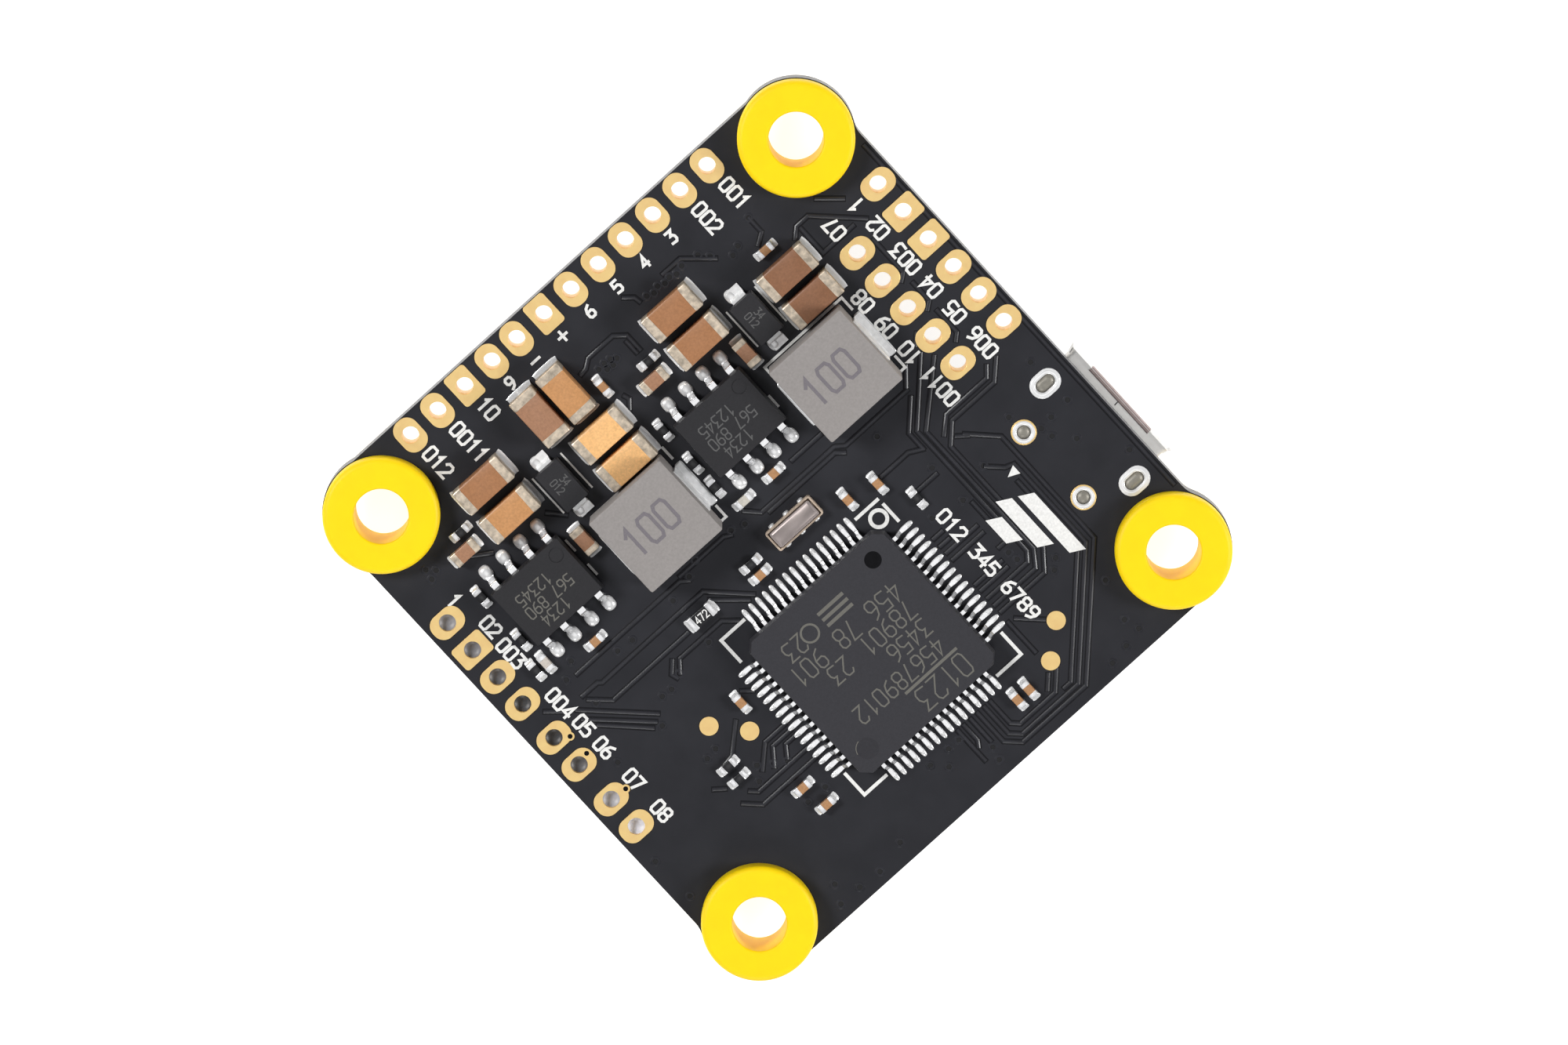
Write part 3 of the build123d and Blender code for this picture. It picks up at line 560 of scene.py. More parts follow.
# ---- grommets ----
def grommet(node):
    """A turned silicone ring with soft rims, a waist in the board and a slightly belled bore."""
    low, high = span(node)
    x, y = (low.x + high.x) / 2, (low.y + high.y) / 2
    outer = (high.x - low.x) / 2
    lower = outer - 0.14
    bore, waist, rim, mouth, root = 1.5, 2.0, 0.32, 0.12, 0.08
    section = []

    def arc(centre_r, centre_z, radius, start, end, steps=6):
        for step in range(steps + 1):
            angle = math.radians(start + (end - start) * step / steps)
            section.append((centre_r + radius * math.cos(angle), centre_z + radius * math.sin(angle)))

    arc(bore + mouth, high.z - mouth, mouth, 180, 90)
    arc(outer - rim, high.z - rim, rim, 90, 0)
    arc(outer - root, TOP + root, root, 0, -90, 3)
    section.extend([(waist, TOP), (waist, BOTTOM)])
    arc(lower - root, BOTTOM - root, root, 90, 0, 3)
    arc(lower - rim, low.z + rim, rim, 0, -90)
    arc(bore + mouth, low.z + mouth, mouth, -90, -180)
    shape = Shape()
    rings = []
    turns = 96
    for step in range(turns):
        angle = 2 * math.pi * step / turns
        rings.append([(x + r * math.cos(angle), y + r * math.sin(angle), z) for r, z in section])
    shape.loft(rings + rings[:1], capped=False)
    made = shape.finish(node + "_soft", SILICONE, "silicone", [node], smooth=60)
    weld = made.modifiers.new("weld", "WELD")
    weld.merge_threshold = 1e-8


for node_name in sorted(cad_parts):
    if node_name.startswith("grommet_"):
        grommet(node_name)


# ---- chip parts: ceramic middles, metal ends and solder ----
def block(shape, put, half_x, half_y, low, high, radius):
    """A block with eased edges."""
    levels = [
        (low, radius * 0.8), (low + radius * 0.3, radius * 0.25), (low + radius, 0),
        (high - radius, 0), (high - radius * 0.3, radius * 0.25), (high, radius * 0.8),
    ]
    rings = []
    for z, inset in levels:
        ring = rounded_ring(half_x - inset, half_y - inset, max(0.01, radius - inset * 0.5))
        rings.append(put([(x, y, z) for x, y in ring]))
    shape.loft(rings)


def end_cap(shape, put, side, inner, outer, half_y, height, radius, wobble):
    """One metal end: a dipped cap with a wavy inner edge and a rounded outer face."""
    profile = rounded_ring(half_y, height / 2, radius)
    full_turn = 6.28
    phase = chance.uniform(0, full_turn)

    def ring(x, scale, wave=0.0):
        points = []
        for index, (y, z) in enumerate(profile):
            angle = 2 * math.pi * index / len(profile)
            bulge = -2.2 * math.cos(math.pi * y / (2.2 * half_y))
            shift = wave * (bulge + math.sin(2 * angle + phase) + 0.5 * math.sin(5 * angle + 2 * phase))
            points.append((side * (x + shift), y * scale, height / 2 + z * scale))
        return points

    dip, tucked, round_y = 0.012, 0.965, radius / half_y
    shape.loft([put(r) for r in (
        ring(inner, tucked, wobble), ring(inner + dip, 1, wobble),
        ring(inner + (outer - inner) * 0.5, 1), ring(outer - radius, 1),
        ring(outer - radius * 0.35, 1 - 0.12 * round_y), ring(outer - radius * 0.05, 1 - 0.45 * round_y),
        ring(outer, 1 - round_y),
    )])


def fillet_solder(shape, put, side, start, half_y, height, reach):
    """The concave solder between an end and its pad."""
    across, along, sunk = 9, 6, 0.02
    top = []
    for i in range(across):
        s = 2 * i / (across - 1) - 1
        lift = height * (1 - 0.45 * abs(s) ** 3)
        out = reach * (1 - 0.22 * abs(s) ** 6)
        for j in range(along):
            t = j / (along - 1)
            top.append((side * (start - sunk + (out + sunk) * t), half_y * s * (1 + 0.06 * t),
                        sunk + lift * (1 - t) ** 2.1))
    count = across * along
    faces = []
    for i in range(across - 1):
        for j in range(along - 1):
            a, b = i * along + j, (i + 1) * along + j
            faces.append((a, a + 1, b + 1, b))
            faces.append((count + a, count + b, count + b + 1, count + a + 1))
    rim = [i * along for i in range(across)]
    rim += [(across - 1) * along + j for j in range(1, along)]
    rim += [i * along + along - 1 for i in reversed(range(across - 1))]
    rim += [j for j in reversed(range(1, along - 1))]
    for a, b in zip(rim, rim[1:] + rim[:1]):
        faces.append((a, b, count + b, count + a))
    shape.add(put(top + [(x, y, 0) for x, y, _ in top]), faces)


BROWN = (0.37, 0.170, 0.075)
DARK_BROWN = (0.25, 0.115, 0.058)
TAN = (0.54, 0.265, 0.105)
PALE = (0.86, 0.49, 0.20)
GREY_BROWN = (0.36, 0.185, 0.105)


def tone_at(x, y, table, default):
    """The tone of the part nearest to a place in the table, or the default."""
    for place, tone in table:
        if math.dist(place, (x, y)) < 0.4:
            return tone
    return default


def chip_direction(centre, size, ends):
    """(quarter turns, half length) of a chip, from its nearest metal end or, without one, from its size."""
    if not ends:
        return (0, size.x / 2) if size.x > size.y else (1, size.y / 2)
    low, high = nearest(ends, centre)
    middle, half = (low + high) / 2, (high - low) / 2
    if abs(middle.x - centre[0]) > abs(middle.y - centre[1]):
        return 0, abs(middle.x - centre[0]) + half.x
    return 1, abs(middle.y - centre[1]) + half.y


def chip_family(name, sizes, tone=None, special_tones=(), end_finish=END_METAL):
    """Detailed middles, ends and solder for every part of a family; without a tone it is a black resistor."""
    end, radius, solder_height, reach = sizes
    body_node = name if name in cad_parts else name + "s"
    end_nodes = [name + "_ends"] if name + "_ends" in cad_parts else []
    end_boxes = [box for node in end_nodes for box in solids(node)]
    middles, ends, solder = Shape(), Shape(), Shape()
    play = 0.012
    for low, high in solids(body_node):
        up = facing(low)
        base = low.z if up > 0 else high.z
        centre = ((low.x + high.x) / 2, (low.y + high.y) / 2)
        size = high - low
        turn, half = chip_direction(centre, size, end_boxes)
        half_width = (size.y if turn == 0 else size.x) / 2

        def put(points):
            """Part coordinates (x along the part, z away from the board) to the board's frame."""
            flat = [(*turned(px, py, turn), pz) for px, py, pz in points]
            return [(centre[0] + qx, centre[1] + qy, base + up * pz) for qx, qy, pz in flat]

        middles.tone = tone_at(*centre, special_tones, tone)
        block(middles, put, half - end * 0.6, half_width - play, 0.02, size.z - play, radius)
        for side in (-1, 1):
            end_cap(ends, put, side, half - end, half, half_width, size.z, radius, end * 0.05)
            fillet_solder(solder, put, side, half, half_width * 0.98, solder_height, reach)
    finish, slot = (CERAMIC, "ceramic_brown") if tone else (GLAZE, "resistor_black")
    middles.finish(name + "_ceramic", finish, slot, [body_node], tones=bool(tone))
    ends.finish(name + "_metal_ends", end_finish, "tin", end_nodes)
    solder.finish(name + "_solder", SOLDER, "tin", smooth=60)


# Sizes are the metal end's length, the edge radius, and the solder's height and reach.
chip_family(
    "bulk_capacitor", (0.5, 0.09, 0.75, 0.26), BROWN,
    [((-9.99, 10.63), TAN), ((-3.35, 10.44), PALE), ((-3.37, 8.46), PALE), ((10.05, 10.23), DARK_BROWN),
     ((10.07, 8.21), DARK_BROWN), ((-5.20, 13.46), GREY_BROWN), ((-3.28, 13.46), TAN)],
)
chip_family("filter_capacitor", (0.35, 0.06, 0.35, 0.24), GREY_BROWN)
chip_family(
    "decoupling_capacitor", (0.25, 0.04, 0.22, 0.24), (0.42, 0.22, 0.10),
    [((-14.2, 3.2), (0.55, 0.5, 0.45)), ((-0.2, 2.5), (0.55, 0.52, 0.46))], TIN,
)
chip_family("chip_resistor", (0.25, 0.03, 0.16, 0.22), end_finish=TIN)
chip_family("pull_up_resistor", (0.3, 0.04, 0.25, 0.22), end_finish=TIN)
chip_family("under_capacitor", (0.35, 0.06, 0.35, 0.22), GREY_BROWN)


# ---- solder on leads ----
def solder_dome(shape, x, y, half_x, half_y, low, height, up=1, power=2.6):
    """A flat-footed bead of solder over an oval pad."""
    around, levels = 24, 7
    rings = []
    for level in range(levels):
        t = level / (levels - 0.4)
        scale = math.cos(t * math.pi / 2) ** 0.6
        z = low + up * height * math.sin(t * math.pi / 2)
        ring = []
        for i in range(around):
            angle = 2 * math.pi * i / around
            c, s = math.cos(angle), math.sin(angle)
            px = half_x * scale * math.copysign(abs(c) ** (2 / power), c)
            py = half_y * scale * math.copysign(abs(s) ** (2 / power), s)
            ring.append((x + px, y + py, z))
        rings.append(ring)
    shape.loft(rings)


def package_middle(lead_node, centre):
    """The middle of the package that a lead belongs to."""
    several = lead_node == "regulator_leads"
    low, high = nearest(solids("regulator_bodies"), centre) if several else span(lead_node)
    return (low + high) / 2


def lead_solder(name, lead_node, extra, width_gain, height):
    """A bead round the foot of every lead in a node, reaching past its toe."""
    shape = Shape()
    for low, high in solids(lead_node):
        size = high - low
        centre = (low + high) / 2
        up = facing(low)
        base = TOP if up > 0 else BOTTOM
        axis = 0 if size.x > size.y else 1
        way = 1 if centre[axis] > package_middle(lead_node, centre)[axis] else -1
        toe = (high if way > 0 else low)[axis]
        foot = 0.55 * size[axis] + extra
        place = [centre.x, centre.y]
        half = [size.x / 2 + width_gain, size.y / 2 + width_gain]
        place[axis] = toe + way * (extra - foot / 2)
        half[axis] = foot / 2
        solder_dome(shape, *place, *half, base, height, up)
    shape.finish(name, SOLDER, "tin", smooth=60)


lead_solder("mcu_lead_solder", "mcu_leads", 0.38, 0.045, 0.09)
for side_name in SIDES:
    lead_solder(f"converter_{side_name}_solder", f"converter_{side_name}_leads", 0.30, 0.15, 0.30)
    lead_solder(f"diode_{side_name}_solder", f"diode_{side_name}_leads", 0.16, 0.05, 0.16)
lead_solder("osd_chip_solder", "osd_chip_leads", 0.25, 0.05, 0.09)
lead_solder("regulator_solder", "regulator_leads", 0.2, 0.08, 0.12)


# ---- solder in holes ----
def collar(rims, solder, cores, centre, half, pad, up, level):
    """One face of a filled hole: pad edge, ring of wicked solder and a domed dull core.

    Steps are (distance in from the edge, height above the face)."""
    inner = min(half.x, half.y)
    band = min(pad.x, pad.y) - inner

    def rings(size, steps):
        made = []
        for inset, lift in steps:
            x, y = size.x - inset, size.y - inset
            made.append(flat_ring(centre, x, y, min(x, y) * 0.98, level + up * lift, 6))
        return made

    edge = rings(pad, [(0, -0.01), (0.01, 0.04), (0.04, 0.05), (band * 0.35, 0.05), (band * 0.35, -0.01)])
    (rims if abs(pad.x - pad.y) < 0.15 else solder).loft(edge + edge[:1], capped=False)
    ring = rings(pad, [(band * 0.3, -0.01), (band * 0.3, 0.052), (band * 0.4, 0.064), (band * 0.65, 0.07),
                       (band * 0.9, 0.064), (band, 0.04), (band * 1.05, 0), (band * 1.05, -0.08)])
    solder.loft(ring + ring[:1], capped=False)
    cores.loft(rings(half, [(0.01, -0.12), (0.04, -0.08), (0.1, -0.05), (0.36 * inner, 0.0),
                            (0.5 * inner, 0.025), (0.7 * inner, 0.045), (0.9 * inner, 0.05)]))


def tab_solder():
    """The USB socket's plated holes: pad, wicked ring of solder, dull filled core."""
    rims, solder, cores = Shape(), Shape(), Shape()
    for low, high in solids("usb_tab_solder"):
        centre, half = (low + high) / 2, (high - low) / 2
        for pad_low, pad_high in solids("usb_mounting_pads"):
            if math.dist(((pad_low + pad_high) / 2)[:2], centre[:2]) > 0.3:
                continue
            for up, level in ((1, TOP), (-1, BOTTOM)):
                collar(rims, solder, cores, centre, half, (pad_high - pad_low) / 2, up, level)
    rims.finish("usb_hole_rims", GOLD, "tin", ["usb_mounting_pads"], smooth=40)
    solder.finish("usb_hole_solder", SOLDER, "tin", smooth=60)
    cores.finish("usb_hole_cores", CORE, "tin", ["usb_tab_solder"], smooth=60)


# Painted shade: greys copied from the shade seen through the left column's holes, given to the solder
# standing in them, in the order of solids("left_pads").
HOLE_SHADE_GREYS = (0.66, 0.42, 0.11, 0.045, 0.05, 0.12, 0.19, 0.26)


def left_hole_shade_plugs():
    """The left column's holes, closed by dull solder that dips in the middle; the plugs and their greys are
    painted shade, for the shade seen through these holes.
    """
    shape = Shape()
    bore = 0.48
    section = [(0.1, BOTTOM + 0.42), (0.3, BOTTOM + 0.38), (bore, BOTTOM + 0.22),
               (bore, TOP - 0.26), (0.38, TOP - 0.36), (0.2, TOP - 0.4), (0.05, TOP - 0.41)]
    for (low, high), grey in zip(solids("left_pads"), HOLE_SHADE_GREYS):
        centre = (low + high) / 2
        shape.tone = (grey * 0.93, grey, grey * 1.2)
        revolve(shape, centre.x, centre.y, section)
    shape.finish("left_hole_shade_plugs", HOLE_SHADE_SOLDER, "tin", smooth=50, tones=True)


left_hole_shade_plugs()
tab_solder()


# ---- boot button ----
def snap_dome():
    """The button's sprung metal dome, a thin spherical cap."""
    low, high = span("boot_button_dome")
    x, y = (low.x + high.x) / 2, (low.y + high.y) / 2
    reach, rise, sheet, travel, steps = (high.x - low.x) / 2, high.z - low.z, 0.06, 0.25, 12
    bend = (reach**2 + rise**2) / (2 * rise)
    profile = []
    for radius, order in ((bend, range(1, steps + 1)), (bend - sheet, range(steps, 0, -1))):
        foot = math.acos((bend - rise) / radius)
        for step in order:
            angle = foot * step / steps
            profile.append((radius * math.sin(angle), low.z + bend - radius * math.cos(angle)))
    shape = Shape()
    revolve(shape, x, y, profile, 32)
    dome = shape.finish("boot_button_snap_dome", NICKEL, "nickel_shell", ["boot_button_dome"], smooth=50)
    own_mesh(dome)


def cover_stakes():
    """Four melted pegs of the base that hold the button's sheet cover."""
    low, high = span("boot_button_cover")
    shape = Shape()
    inset = 0.42
    for x in (low.x + inset, high.x - inset):
        for y in (low.y + inset, high.y - inset):
            disc(shape, x, y, 0.26, low.z + 0.03, low.z - 0.09, 0.07)
    shape.finish("boot_button_stakes", BLACK_NYLON, "button_black", smooth=50)


snap_dome()
cover_stakes()


# ---- USB socket ----
def softened(corners, cut, steps=4):
    """An outline whose corners are rounded off, starting at the distance cut from each."""
    points = []
    for place, corner in enumerate(corners):
        middle = Vector(corner)
        start = middle + (Vector(corners[place - 1]) - middle).normalized() * cut
        stop = middle + (Vector(corners[(place + 1) % len(corners)]) - middle).normalized() * cut
        for step in range(steps + 1):
            t = step / steps
            points.append(start * (1 - t) ** 2 + middle * 2 * t * (1 - t) + stop * t * t)
    return points


def usb_socket():
    """The folded sheet shell: flared mouth, a lip coloured by painted reflection, side wings, seams of
    painted shade and latch windows.
    """
    low, high = span("usb_shell")
    middle, half = (low.y + high.y) / 2, (high.y - low.y) / 2
    mouth, wall, shoulder, narrow, seam = high.x - 0.15, 0.25, 1.05, 2.8, 0.03

    def section(x, inset):
        wide, slim = half - inset, narrow - 0.6 * inset
        top, foot = -inset, low.z + inset
        corners = [(-wide, top), (wide, top), (wide, foot + shoulder), (slim, foot), (-slim, foot),
                   (-wide, foot + shoulder)]
        return [(x, middle + y, z) for y, z in softened(corners, 0.3)]

    def slab(shape, steps):
        """Boxes joined along x: (x, lowest y, highest y, lowest z, highest z), y from the middle."""
        shape.loft([[(x, middle + a, c), (x, middle + b, c), (x, middle + b, d), (x, middle + a, d)]
                    for x, a, b, c, d in steps])

    shell = Shape()
    steps = [(low.x, 0.1), (low.x + 0.03, 0.03), (low.x + 0.1, 0), (mouth - 0.3, 0), (mouth - 0.1, -0.03),
             (mouth, -0.07), (mouth + 0.02, -0.04), (mouth - 0.1, wall - 0.06), (mouth - 0.3, wall),
             (low.x + wall, wall)]
    shell.loft([section(x, inset) for x, inset in steps])
    wings = [(-0.35, 0.04, -1.35, -0.25), (0, 0.14, -1.3, -0.3), (0.13, 0.26, -1.2, -0.4)]
    for side in (-1, 1):
        slab(shell, [(mouth + x, *sorted((side * (half + out - 0.07), side * (half + out))), c, d)
                     for x, out, c, d in wings])
    for a, b in solids("usb_tab_solder"):
        leg, size = (a + b) / 2, (b - a) * 0.32
        shell.loft([flat_ring(leg, size.x, size.y, 0.08, z, 2) for z in (-0.1, TOP - 0.1)])
    shell.finish("usb_folded_shell", SHEET, "nickel_shell", ["usb_shell"])
    # Painted reflection: the lip's brownish grey stands for a reflection on the mouth's rim.
    painted_light_lip = Shape()
    slab(painted_light_lip, [(mouth + x, -wide, wide, c, d) for x, wide, c, d in (
        (-0.2, 2.36, -0.2, 0.02), (-0.14, 2.36, -0.22, 0.08), (0.07, 2.36, -0.25, 0.05),
        (0.14, 2.34, -0.25, -0.06))])
    painted_light_lip.finish("usb_mouth_lip", LIP_REFLECTION, "nickel_shell")
    seams, latches = Shape(), Shape()
    slab(seams, [(mouth - 0.45, -seam, seam, -0.05, 0.004), (mouth - 0.19, -seam, seam, -0.05, 0.025)])
    slab(seams, [(x, -seam, seam, low.z - 0.004, low.z + 0.02) for x in (low.x + 0.3, mouth - 0.2)])
    for side in (-1, 1):
        inner, outer = sorted((side * 0.9, side * 1.9))
        slab(seams, [(x, inner, outer, low.z - 0.003, low.z + 0.02) for x in (low.x + 2.2, low.x + 4.1)])
        slab(latches, [(low.x + x, inner + 0.2, outer - 0.2, low.z - lift, low.z + 0.02)
                       for x, lift in ((2.2, 0.006), (3.6, 0.05), (3.9, 0.03))])
    # Painted shade: the seams are thin near-black strips for the shade in the sheet's joints.
    seams.finish("usb_seams", SHADE_BLACK, "nickel_shell")
    latches.finish("usb_latches", SHEET, "nickel_shell")


usb_socket()


# ---- inductors and resonator ----
BLOCK_DROP = 0.008  # how far the inductors' blocks stay below the tops of their CAD nodes


def inductor(side_name):
    """A pressed-powder block, a thin folded terminal on each end and the solder before them."""
    body_node, terminal_node = f"inductor_{side_name}_body", f"inductor_{side_name}_terminals"
    low, high = span(body_node)
    centre, half = (low + high) / 2, (high - low) / 2
    body = Shape()
    top, chamfer = high.z - BLOCK_DROP, 0.07
    levels = [(low.z, chamfer), (low.z + chamfer, 0), (top - chamfer, 0),
              (top - chamfer * 0.35, chamfer * 0.3), (top, chamfer)]
    body.loft([flat_ring(centre, half.x - inset, half.y - inset, 0.1, z) for z, inset in levels])
    body.finish(f"inductor_{side_name}_block", POWDER, "inductor_grey", [body_node])
    terminals, pools = Shape(), Shape()
    outer_low, outer_high = span(terminal_node)
    foot, crest, wide, hidden_toe = outer_low.z, outer_high.z, 1.45, 0.18
    for way in (-1, 1):
        face = high.x if way > 0 else low.x
        toe = min(abs(outer_high.x - high.x), abs(low.x - outer_low.x)) - 0.04 if way > 0 else hidden_toe
        profile = [(-0.6, foot), (toe, foot), (toe, foot + 0.1), (0.16, foot + 0.13),
                   (0.11, foot + 0.2), (0.1, crest - 0.06), (0.06, crest), (-0.02, crest),
                   (-0.02, foot + 0.1), (-0.6, foot + 0.1)]
        ends = []
        for y in (-wide, -wide + 0.03, wide - 0.03, wide):
            shrink = 0.02 if abs(y) == wide else 0
            ends.append([(face + way * (x - shrink * (x > 0)), centre.y + y, z) for x, z in profile])
        terminals.loft(ends)
    terminals.finish(f"inductor_{side_name}_strips", BRIGHT_TIN, "tin", [terminal_node], smooth=30)
    for edge, inset in ((outer_low.x, -0.42), (outer_high.x, 0.2)):
        solder_dome(pools, edge - inset, centre.y, 0.25, wide + 0.07, TOP, foot - TOP + 0.05, 1, 9)
    pools.finish(f"inductor_{side_name}_solder", SOLDER, "tin", smooth=60)


def resonator():
    """A ceramic tub with a bevelled metal lid in it and beads of solder along both sides."""
    low, high = span("resonator_base")
    centre, half = (low + high) / 2, (high - low) / 2
    tub, lid, beads = Shape(), Shape(), Shape()
    steps = [(0, low.z), (0, high.z - 0.03), (0.03, high.z), (0.1, high.z), (0.12, high.z - 0.07),
             (0.12, low.z + 0.1)]
    tub.loft([flat_ring(centre, half.x - i, half.y - i, max(0.12 - i, 0.03), z) for i, z in steps])
    tub.finish("resonator_tub", TUB, "ceramic_white", ["resonator_base"])
    lid_low, lid_high = span("resonator_lid")
    lid_half = (lid_high - lid_low) / 2
    steps = [(0.04, lid_low.z), (0.02, lid_low.z + 0.04), (0.02, lid_high.z - 0.07),
             (0.05, lid_high.z - 0.03), (0.12, lid_high.z - 0.03), (0.16, lid_high.z)]
    lid.loft([flat_ring(centre, lid_half.x - i, lid_half.y - i, max(0.14 - i, 0.04), z) for i, z in steps])
    lid.finish("resonator_cover", LID, "nickel_shell", ["resonator_lid"])
    for side in (-1, 1):
        for step in (-1, 0, 1):
            solder_dome(beads, centre.x + step * 1.05, centre.y + side * (half.y + 0.02), 0.2, 0.13, TOP, 0.3)
    beads.finish("resonator_solder", SOLDER, "tin", smooth=60)


for side_name in SIDES:
    inductor(side_name)
resonator()


# ---- covered copper: tracks and vias ----
TRACK_RISE = 0.036
# Each track is the list of points it bends at.
TOP_TRACKS = [
    # along the converters, towards the processor
    [(-13.4, 1.55), (-5.8, 1.55), (-5.4, 1.25)],
    [(-14.0, 0.45), (-12.9, 0.45), (-12.7, 0.28), (-5.25, 0.28), (-3.3, -1.7)],
    [(-13.9, 0.1), (-12.9, -0.85), (-7.4, -0.85)], [(-14.75, 0.1), (-11.6, -3.05)],
    [(-14.85, -0.5), (-12.0, -3.3)], [(-14.45, -1.3), (-12.35, -3.45)],
    [(-9.05, -1.4), (-9.6, -1.95), (-9.5, -2.3)], [(-9.2, -2.2), (-8.7, -1.6), (-5.6, -1.6), (-4.9, -2.2)],
    [(-5.3, -0.3), (-3.7, -1.75)], [(-16.1, 1.2), (-15.1, 0.3)],
    [(-0.6, 2.05), (0.05, 1.35), (5.4, 1.35), (5.9, 0.98), (10.4, 0.98)],
    [(0.4, 1.08), (5.2, 1.08), (5.6, 0.74)], [(3.2, 2.35), (5.3, 2.35)],
    [(-5.6, 1.75), (-2.4, 1.75), (-2.0, 1.55)],
    # left fan of the processor
    [(-6.9, -8.15), (-8.35, -8.15), (-9.5, -9.2)], [(-6.9, -8.6), (-8.2, -8.6), (-8.9, -9.5)],
    [(-6.9, -9.0), (-7.6, -9.0), (-8.05, -9.6)], [(-6.9, -9.95), (-10.45, -9.95), (-10.8, -9.6)],
    [(-6.9, -10.65), (-10.75, -10.65), (-11.55, -9.85)], [(-8.75, -6.2), (-10.2, -7.5), (-10.85, -7.6)],
    [(-6.9, -5.6), (-7.4, -5.2)], [(-12.2, -8.2), (-11.7, -8.6)],
    # below the processor, round to the long diagonal
    [(11.5, -11.65), (6.2, -16.95), (5.75, -16.95)], [(11.5, -11.65), (11.5, -6.8)],
    [(-0.15, -14.8), (-0.15, -17.0)], [(0.3, -14.8), (0.3, -15.9), (0.1, -16.2)],
    [(0.8, -14.8), (0.8, -16.4)],
    [(12.0, -5.95), (12.0, -11.75), (6.45, -17.3), (2.35, -17.3), (1.8, -16.75), (1.8, -14.8)],
    [(11.1, -2.9), (12.5, -4.35), (12.5, -11.9), (6.7, -17.65), (2.05, -17.65), (1.3, -16.9), (1.3, -14.8)],
    [(6.1, -15.9), (5.2, -16.8), (2.65, -16.8), (2.25, -16.4), (2.25, -14.8)], [(5.6, -15.8), (5.0, -16.4)],
    [(5.9, -12.2), (5.9, -14.4)], [(6.35, -12.3), (7.45, -13.4)],
    [(12.0, -5.95), (11.5, -5.75), (10.75, -5.0)],
    # down the right of the processor
    [(10.3, 0.55), (8.9, -0.85), (8.9, -2.0)], [(8.9, -2.0), (8.15, -1.6), (6.2, -1.6)],
    [(11.25, 2.0), (10.5, 1.15)], [(12.9, 2.95), (12.4, 2.5)],
    [(12.3, 1.95), (9.3, -1.05), (9.3, -9.95), (8.9, -10.45), (6.0, -10.45)],
    [(12.75, 1.35), (9.65, -1.4), (9.65, -10.1), (9.0, -11.0), (6.0, -11.0)],
    [(15.2, -0.95), (14.2, -1.9), (11.1, -1.9), (10.1, -2.9), (10.1, -10.4), (9.2, -11.5), (6.0, -11.5)],
    [(14.5, -0.95), (14.05, -1.45), (11.1, -1.45), (10.25, -2.2)], [(8.9, -6.0), (8.9, -8.8), (8.3, -8.8)],
    *[[(6.0, y), (x, y)] for x, y in (
        (6.6, -6.05), (6.6, -6.6), (8.2, -7.1), (8.2, -7.6), (7.9, -9.45), (7.9, -9.9))],
    [(7.2, -3.5), (8.5, -3.5)], [(11.2, -3.1), (10.7, -2.7)],
    # beside the connectors and the pads
    [(17.68, 12.4), (17.68, -12.6)], [(11.5, 11.2), (12.0, 11.65), (12.85, 11.65), (15.1, 9.4)],
    [(13.8, 12.05), (14.9, 11.05)], [(10.4, 13.7), (10.4, 12.7), (9.8, 12.3)],
    [(12.1, 11.4), (12.1, 9.6), (14.3, 9.6)], [(14.6, 8.3), (14.6, 5.9), (14.2, 5.6)],
    [(14.6, 5.1), (14.6, 3.8), (14.2, 3.5)], [(14.55, 3.1), (14.55, 1.5), (14.2, 1.2)],
    [(-2.1, 13.55), (-1.7, 13.6), (-1.2, 13.95), (0.6, 13.95), (1.2, 13.45), (1.2, 12.4)],
    [(0.95, 13.2), (0.95, 12.4)], [(2.45, 15.1), (2.9, 14.7), (2.95, 14.35)],
    [(4.9, 14.6), (6.15, 14.6), (7.6, 13.3)], [(-1.15, 11.1), (-1.05, 10.8), (-1.4, 10.4)],
    [(-13.2, 10.2), (-12.3, 9.6)], [(-8.6, 9.2), (-7.9, 8.4)],
]
